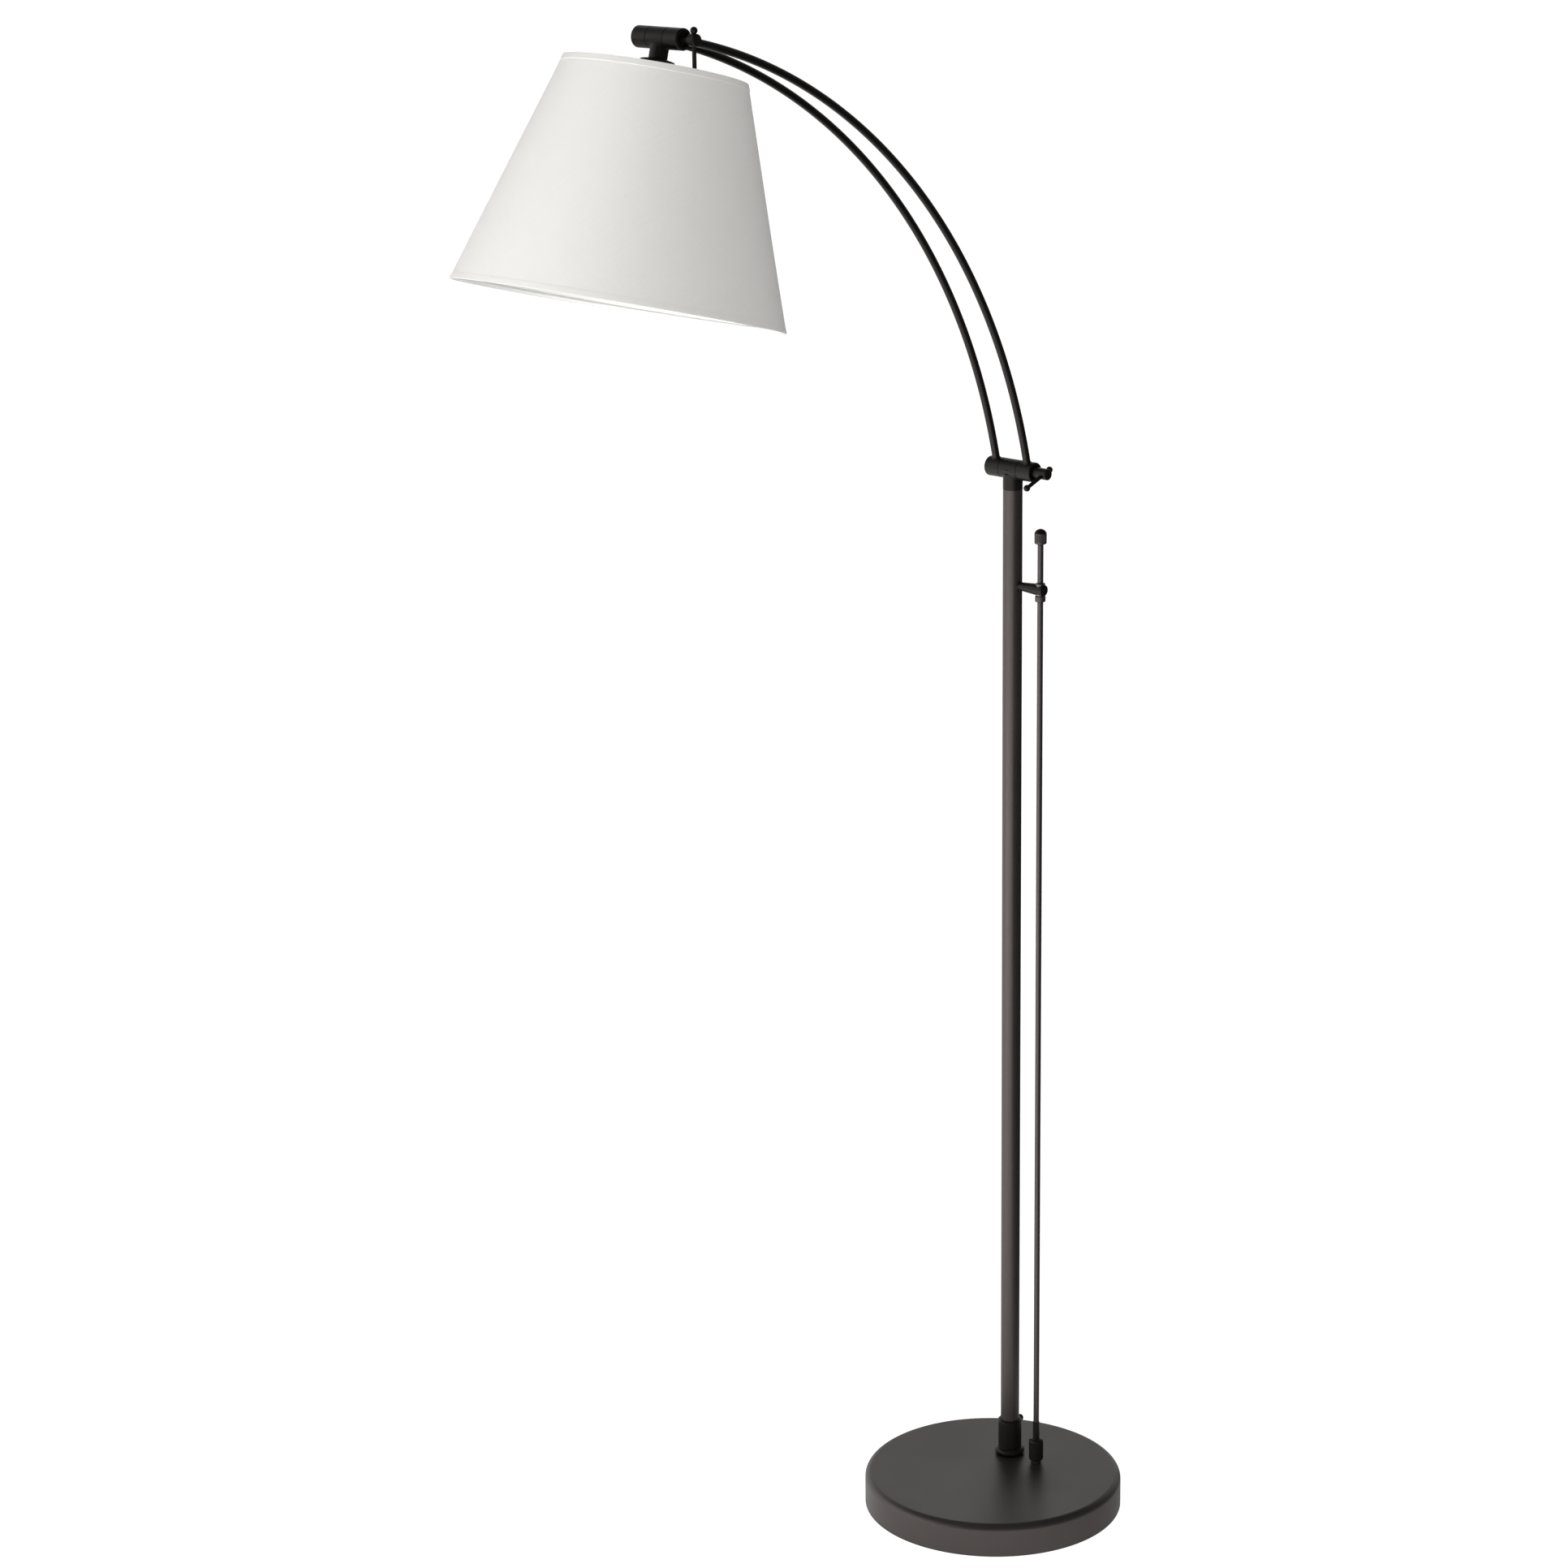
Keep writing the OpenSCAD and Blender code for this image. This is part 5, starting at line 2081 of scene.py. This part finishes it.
class Shade(SubAssembly):
    """Linen shade on a white liner, with taped edges, wire rings and a spider."""

    sizes = ShadeSizes()

    def __init__(self, layout: Layout) -> None:
        """Works out the shade's frame and cone.

        Args:
            layout: Where the joints are.
        """
        super().__init__(layout)
        s = self.sizes
        tilt = Matrix.Rotation(math.radians(HeadSizes.tilt), 4, "Y")
        self.seat = Matrix.Translation(layout.head) @ tilt
        self.slope = (s.bottom_radius - s.top_radius) / s.height
        self.slant = math.hypot(1.0, self.slope)
        self.apex = s.top_radius / self.slope - s.top
        self.bottom = s.top + s.height

    def radius_at(self, depth: float, inset: float = 0.0) -> float:
        """Radius of the cone at a depth, less an inset square to its surface."""
        s = self.sizes
        return s.top_radius + (depth - s.top) * self.slope - inset * self.slant

    def wall(self, outer: float, thickness: float) -> Mesh:
        """Returns a cone of sheet between the shade's edges.

        Args:
            outer: Inset of its outer face.
            thickness: Thickness of the sheet.

        Returns:
            The closed wall.
        """
        s = self.sizes
        depths = [s.top + s.height * row / s.rows for row in range(s.rows + 1)]
        outside = [(self.radius_at(depth, outer), -depth) for depth in depths]
        inner = outer + thickness
        inside = [(self.radius_at(depth, inner), -depth) for depth in depths]
        return turned(outside + inside[::-1], steps=s.steps)

    def cloth(self) -> Mesh:
        """Returns the linen, drawn over its liner with a faint unevenness.

        Returns:
            The cloth with its map.
        """
        s = self.sizes
        bm = self.wall(0.0, s.cloth)
        for vert in bm.verts:
            angle = math.atan2(vert.co.y, vert.co.x)
            share = (-vert.co.z - s.top) / s.height
            held = math.sin(math.pi * min(max(share, 0.0), 1.0))
            slow, quick = math.sin(3 * angle + 0.7), math.sin(7 * angle + 5 * share)
            wave = 0.22 * slow + 0.12 * quick
            push = held * (wave - 0.25) / math.hypot(vert.co.x, vert.co.y)
            vert.co.x *= 1 + push
            vert.co.y *= 1 + push
        lay_cloth_map(bm, self.apex, self.slope)
        return bm

    def tape(self, edge: float, inward: float) -> Mesh:
        """Returns the folded tape that wraps one edge of the shade.

        Args:
            edge: Depth of the shade's edge.
            inward: Direction from the edge to the shade's middle, 1 or -1.

        Returns:
            The tape with its map.
        """
        s = self.sizes
        out, wall = s.tape_thickness, s.cloth + s.liner
        end = edge + inward * s.tape
        turn = edge - inward * 0.35
        inner = edge + inward * (s.tape - 1.5)
        outline = [
            (self.radius_at(end, -0.05), -end),
            (self.radius_at(end, -out * 0.8), -(end - inward * 0.15)),
            (self.radius_at(end, -out), -(end - inward * 0.6)),
            (self.radius_at(edge, -out), -(edge + inward * 0.3)),
            (self.radius_at(edge, -out * 0.6), -turn),
            (self.radius_at(edge, wall * 0.5), -(turn - inward * 0.15)),
            (self.radius_at(edge, wall + out * 0.6), -turn),
            (self.radius_at(edge, wall + out), -(edge + inward * 0.3)),
            (self.radius_at(inner, wall + out * 0.7), -inner),
            (self.radius_at(inner, wall + 0.05), -inner),
            (self.radius_at(edge, wall + 0.02), -(edge + inward * 0.1)),
            (self.radius_at(edge, -0.02), -(edge + inward * 0.1)),
        ]
        bm = turned(outline, steps=s.steps)
        lay_cloth_map(bm, self.apex, self.slope)
        return bm

    def seam(self) -> Mesh:
        """Returns the lapped seam at the back, a narrow strip of the same linen.

        Returns:
            The seam with its map.
        """
        s = self.sizes
        bm = bmesh.new()
        rows = 40
        bmesh.ops.create_grid(bm, x_segments=6, y_segments=rows, size=0.5)
        for vert in bm.verts:
            across, share = vert.co.x * s.seam_width, vert.co.y + 0.5
            depth = s.top + s.tape * 0.5 + (s.height - s.tape) * (1 - share)
            radius = self.radius_at(depth, -0.12 - 0.25 * (1 - (2 * vert.co.x) ** 8))
            angle = math.radians(s.seam_angle) + across / radius
            vert.co = (radius * math.cos(angle), radius * math.sin(angle), -depth)
        bmesh.ops.solidify(bm, geom=list(bm.faces), thickness=0.3)
        lay_cloth_map(bm, self.apex, self.slope)
        return bm

    def spider(self) -> Mesh:
        """Returns the flat ring with three wire spokes up to the top ring.

        Returns:
            The spider.
        """
        s = self.sizes
        holder = HeadSizes.holder + 0.4
        ring = turned(
            ring_outline(holder, holder + 6.0, -s.spider_z - s.spider, -s.spider_z), 0.3
        )
        depth = s.top + s.wire + s.wire_gap
        rim = self.radius_at(depth, s.cloth + s.liner + s.wire_gap + s.wire)
        start = Vector((holder + 3.5, 0, -s.spider_z - 0.8))
        end = Vector((rim, 0, -depth))
        parts = [ring]
        for index in range(3):
            turn = Matrix.Rotation(math.radians(90 + 120 * index), 4, "Z")
            spoke = moved(bar_between(start, end, s.wire - 0.4), turn)
            weld = bmesh.new()
            bmesh.ops.create_uvsphere(weld, u_segments=16, v_segments=10, radius=1.9)
            bmesh.ops.scale(weld, vec=(1.5, 1.0, 0.8), verts=list(weld.verts))
            bmesh.ops.translate(weld, vec=start, verts=list(weld.verts))
            parts += [spoke, moved(weld, turn)]
        return joined(*parts)

    def build(self) -> None:
        """Makes the shade's pieces."""
        s = self.sizes
        body, seat = Body.HEAD, self.seat
        linen = self.cloth()
        cloth = self.add("shade_linen_cover", linen, LINEN, body, seat, "shade_fabric")
        liner = self.wall(s.cloth, s.liner)
        self.add("shade_white_liner", liner, LINER, body, seat, "shade_liner")
        for name, edge, inward in (("top", s.top, 1.0), ("bottom", self.bottom, -1.0)):
            tape, node = self.tape(edge, inward), f"shade_{name}_trim"
            self.add(f"shade_{name}_tape", tape, LINEN, body, seat, node)
        self.add("shade_back_seam", self.seam(), LINEN, body, seat)
        inset = s.cloth + s.liner + s.wire_gap + s.wire
        for name, depth in (
            ("top", s.top + s.wire + s.wire_gap),
            ("bottom", self.bottom - s.wire - s.wire_gap),
        ):
            ring = wire_ring(self.radius_at(depth, inset), -depth, s.wire)
            node = f"shade_{name}_ring"
            self.add(f"shade_{name}_wire", ring, WHITE_WIRE, body, seat, node)
        spider = self.spider()
        self.add("shade_wire_spider", spider, WHITE_WIRE, body, seat, "shade_spider")


# ----------------------------------------------------------- hidden pieces

HIDDEN_NODES: dict[str, Finish] = {
    "base_weight": CAST_IRON,
    "socket_nipple": BRASS,
    "nipple_washer": STEEL,
    "nipple_nut": BRASS,
    "pole_lead": LEAD_JACKET,
    "dimmer_body": BLACK_PLASTIC,
    "dimmer_shaft": STEEL,
    "bracket_end_plug": DARK_BRONZE,
    "friction_washers": BLACK_PLASTIC,
    "clamp_nuts": STEEL,
    "arm_lead": LEAD_JACKET,
    "head_lead": LEAD_JACKET,
    "holder_nipple": BRASS,
    "holder_screw_shell": BRASS,
    "holder_contact": BRASS,
}


def dress_nodes(nodes: dict[str, bpy.types.Object]) -> None:
    """Gives the CAD nodes that stay their finishes.

    Args:
        nodes: The frame's nodes by name.
    """
    for name, finish in HIDDEN_NODES.items():
        node = nodes[name]
        if not node.material_slots:
            node.data.materials.append(None)
        for slot in node.material_slots:
            slot.material = finish.material()
        LOG.info("%s: dressed in %s", name, finish.slot.value)


# ------------------------------------------------------------------ studio


@dataclass(frozen=True)
class SoftBox:
    """A soft studio light.

    Attributes:
        name: Name of the light.
        place: Where it hangs, in metres.
        aim: The point that it faces.
        size: Width and height of its face.
        power: Power in watts.
    """

    name: str
    place: Place
    aim: Place
    size: tuple[float, float]
    power: float


@dataclass
class Studio:
    """Camera, floor and soft light round the lamp.

    Attributes:
        camera_place: Where the camera is, in metres.
        heading: The camera's turn about Z, in degrees.
        dip: How far it looks down, in degrees.
        roll: Its turn about its own axis, in degrees.
        lens: Its focal length in millimetres, on a sensor 36 mm wide.
        floor_size: Side of the floor in metres.
        floor_glow: Brightness added to the floor as the camera sees it.
        floor_sheen: Brightness of the floor's lit side as metal mirrors it.
        sheen_reach: Where that brightness starts to fade and ends, in metres.
        shade_reach: Where the mirrored floor starts to darken and is darkest.
        mirrored_shade: How dark the mirrored floor becomes, 0 to 1.
        low_light: The room's light from below and beside the lamp.
        high_light: The room's light from above.
        room_reach: Heights of direction between which the two blend.
        flag_reach: Where the mirrored room goes from dark to bright.
        flag_light: Brightness of the mirrored room's dark side.
        open_light: Brightness of its bright side.
        boxes: The soft boxes.
    """

    camera_place: Place = (-3.231, -2.887, 2.085)
    heading: float = -45.054
    dip: float = 15.394
    roll: float = -0.738
    lens: float = 90.44
    floor_size: float = 60.0
    floor_glow: float = 0.85
    floor_sheen: float = 0.6
    sheen_reach: tuple[float, float] = (-1.2, 0.9)
    shade_reach: tuple[float, float] = (0.15, 0.7)
    mirrored_shade: float = 0.92
    low_light: float = 0.62
    high_light: float = 0.05
    room_reach: tuple[float, float] = (0.35, 0.75)
    flag_reach: tuple[float, float] = (-0.3, 0.5)
    flag_light: float = 0.12
    open_light: float = 1.2
    boxes: tuple[SoftBox, ...] = field(
        default=(
            SoftBox("key_left", (-3.3, 0.7, 0.9), (-0.1, 0.0, 0.9), (2.6, 1.7), 80.0),
            SoftBox("front", (-3.4, -4.4, 0.9), (-0.1, 0.0, 0.8), (3.0, 1.8), 100.0),
        )
    )

    def set_camera(self) -> None:
        """Makes the camera, the first object of the scene."""
        data = bpy.data.cameras.new("camera")
        data.lens, data.sensor_width = self.lens, 36.0
        data.clip_end = 100.0
        camera = linked("camera", data)
        turns = (
            Matrix.Rotation(math.radians(self.heading), 4, "Z")
            @ Matrix.Rotation(math.radians(90 - self.dip), 4, "X")
            @ Matrix.Rotation(math.radians(self.roll), 4, "Z")
        )
        camera.matrix_world = Matrix.Translation(self.camera_place) @ turns
        bpy.context.scene.camera = camera

    def lay_floor(self) -> None:
        """Makes the pale floor."""
        bm = bmesh.new()
        bmesh.ops.create_grid(bm, x_segments=4, y_segments=4, size=self.floor_size / 2)
        mesh = bpy.data.meshes.new("floor")
        bm.to_mesh(mesh)
        bm.free()
        material = bpy.data.materials.new("pale_floor")
        material.use_nodes = True
        graph = Graph(material.node_tree)
        shader = material.node_tree.nodes["Principled BSDF"]
        where = graph.node("ShaderNodeTexCoord").outputs["Object"]
        clouds = graph.noise(where, 2.0)
        tone = graph.blend(clouds, (0.84, 0.83, 0.81), (0.87, 0.86, 0.84))
        across = graph.split(where)
        right = graph.math("SUBTRACT", across[0], across[1])
        path = graph.node("ShaderNodeLightPath")
        mirrored = path.outputs["Is Glossy Ray"]
        shade = graph.span(right, *self.shade_reach, 0.0, self.mirrored_shade)
        shade = graph.math("MULTIPLY", mirrored, shade)
        graph.feed(shader.inputs["Base Color"], graph.blend(shade, tone, BLACK))
        shader.inputs["Roughness"].default_value = 0.9
        shader.inputs["Emission Color"].default_value = (*WHITE, 1.0)
        glow = graph.math("MULTIPLY", path.outputs["Is Camera Ray"], self.floor_glow)
        sheen = graph.span(right, *self.sheen_reach, self.floor_sheen, 0.0)
        sheen = graph.math("MULTIPLY", mirrored, sheen)
        graph.feed(shader.inputs["Emission Strength"], graph.math("ADD", glow, sheen))
        mesh.materials.append(material)
        floor = linked("floor", mesh)
        floor.location.z = -0.0002

    def hang_lights(self) -> None:
        """Hangs the soft boxes and sets the room's light."""
        for box in self.boxes:
            data = bpy.data.lights.new(box.name, "AREA")
            data.shape = "RECTANGLE"
            data.size, data.size_y = box.size
            data.energy = box.power
            light = linked(box.name, data)
            aim = Vector(box.aim) - Vector(box.place)
            turn = aim.to_track_quat("-Z", "Y").to_matrix().to_4x4()
            light.matrix_world = Matrix.Translation(box.place) @ turn
            light.visible_glossy = False
        world = bpy.data.worlds.new("studio")
        world.use_nodes = True
        graph = Graph(world.node_tree)
        graph.tree.nodes.clear()
        seen, room = (graph.node("ShaderNodeBackground") for _ in range(2))
        for background in (seen, room):
            background.inputs["Color"].default_value = (*WHITE, 1.0)
        seen.inputs["Strength"].default_value = 1.0
        towards = graph.split(graph.node("ShaderNodeTexCoord").outputs["Generated"])
        strength = graph.span(
            towards[2], *self.room_reach, self.low_light, self.high_light
        )
        path = graph.node("ShaderNodeLightPath")
        flagged = graph.span(
            towards[1], *self.flag_reach, self.flag_light, self.open_light
        )
        in_metal = graph.choose(path.outputs["Is Glossy Ray"], 1.0, flagged)
        strength = graph.math("MULTIPLY", strength, in_metal)
        graph.feed(room.inputs["Strength"], strength)
        pick = graph.node("ShaderNodeMixShader")
        graph.feed(pick.inputs[0], path.outputs["Is Camera Ray"])
        graph.feed(pick.inputs[1], room.outputs[0])
        graph.feed(pick.inputs[2], seen.outputs[0])
        out = graph.node("ShaderNodeOutputWorld")
        graph.feed(out.inputs["Surface"], pick.outputs[0])
        bpy.context.scene.world = world
        bpy.context.scene.view_settings.view_transform = "Standard"


# -------------------------------------------------------------------- main

SHOULDER_CLAMP = ClampSizes(
    middle=25.5, boss_from=-3.4, boss_to=19.5, neck=0.0, bar_inset=6.5, bar_angle=22.0
)
HEAD_CLAMP = ClampSizes(
    middle=24.0, boss_from=9.4, boss_to=19.4, neck=4.0, bar_inset=5.0, bar_angle=90.0
)


def main() -> None:
    """Loads the frame and builds the lamp round it."""
    logging.basicConfig(level=logging.INFO, format="%(message)s")
    studio = Studio()
    studio.set_camera()
    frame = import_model()
    layout = Layout.from_frame(frame)
    assemblies: list[SubAssembly] = [
        BaseAssembly(layout),
        PoleAssembly(layout),
        SwitchRod(layout),
        ClampJoint(
            layout,
            "shoulder",
            layout.shoulder,
            SHOULDER_CLAMP,
            (Body.STAND, Body.SHOULDER_CLAMP, Body.SHOULDER_BAR),
        ),
        ClampJoint(
            layout,
            "head",
            layout.head,
            HEAD_CLAMP,
            (Body.HEAD, Body.HEAD_CLAMP, Body.HEAD_BAR),
        ),
        ArmPair(layout),
        LampHead(layout),
        Shade(layout),
    ]
    for assembly in assemblies:
        assembly.build()
        LOG.info("%s: %d pieces", type(assembly).__name__, len(assembly.pieces))
    dress_nodes(frame["nodes"])
    studio.lay_floor()
    studio.hang_lights()


if __name__ == "__main__":
    main()
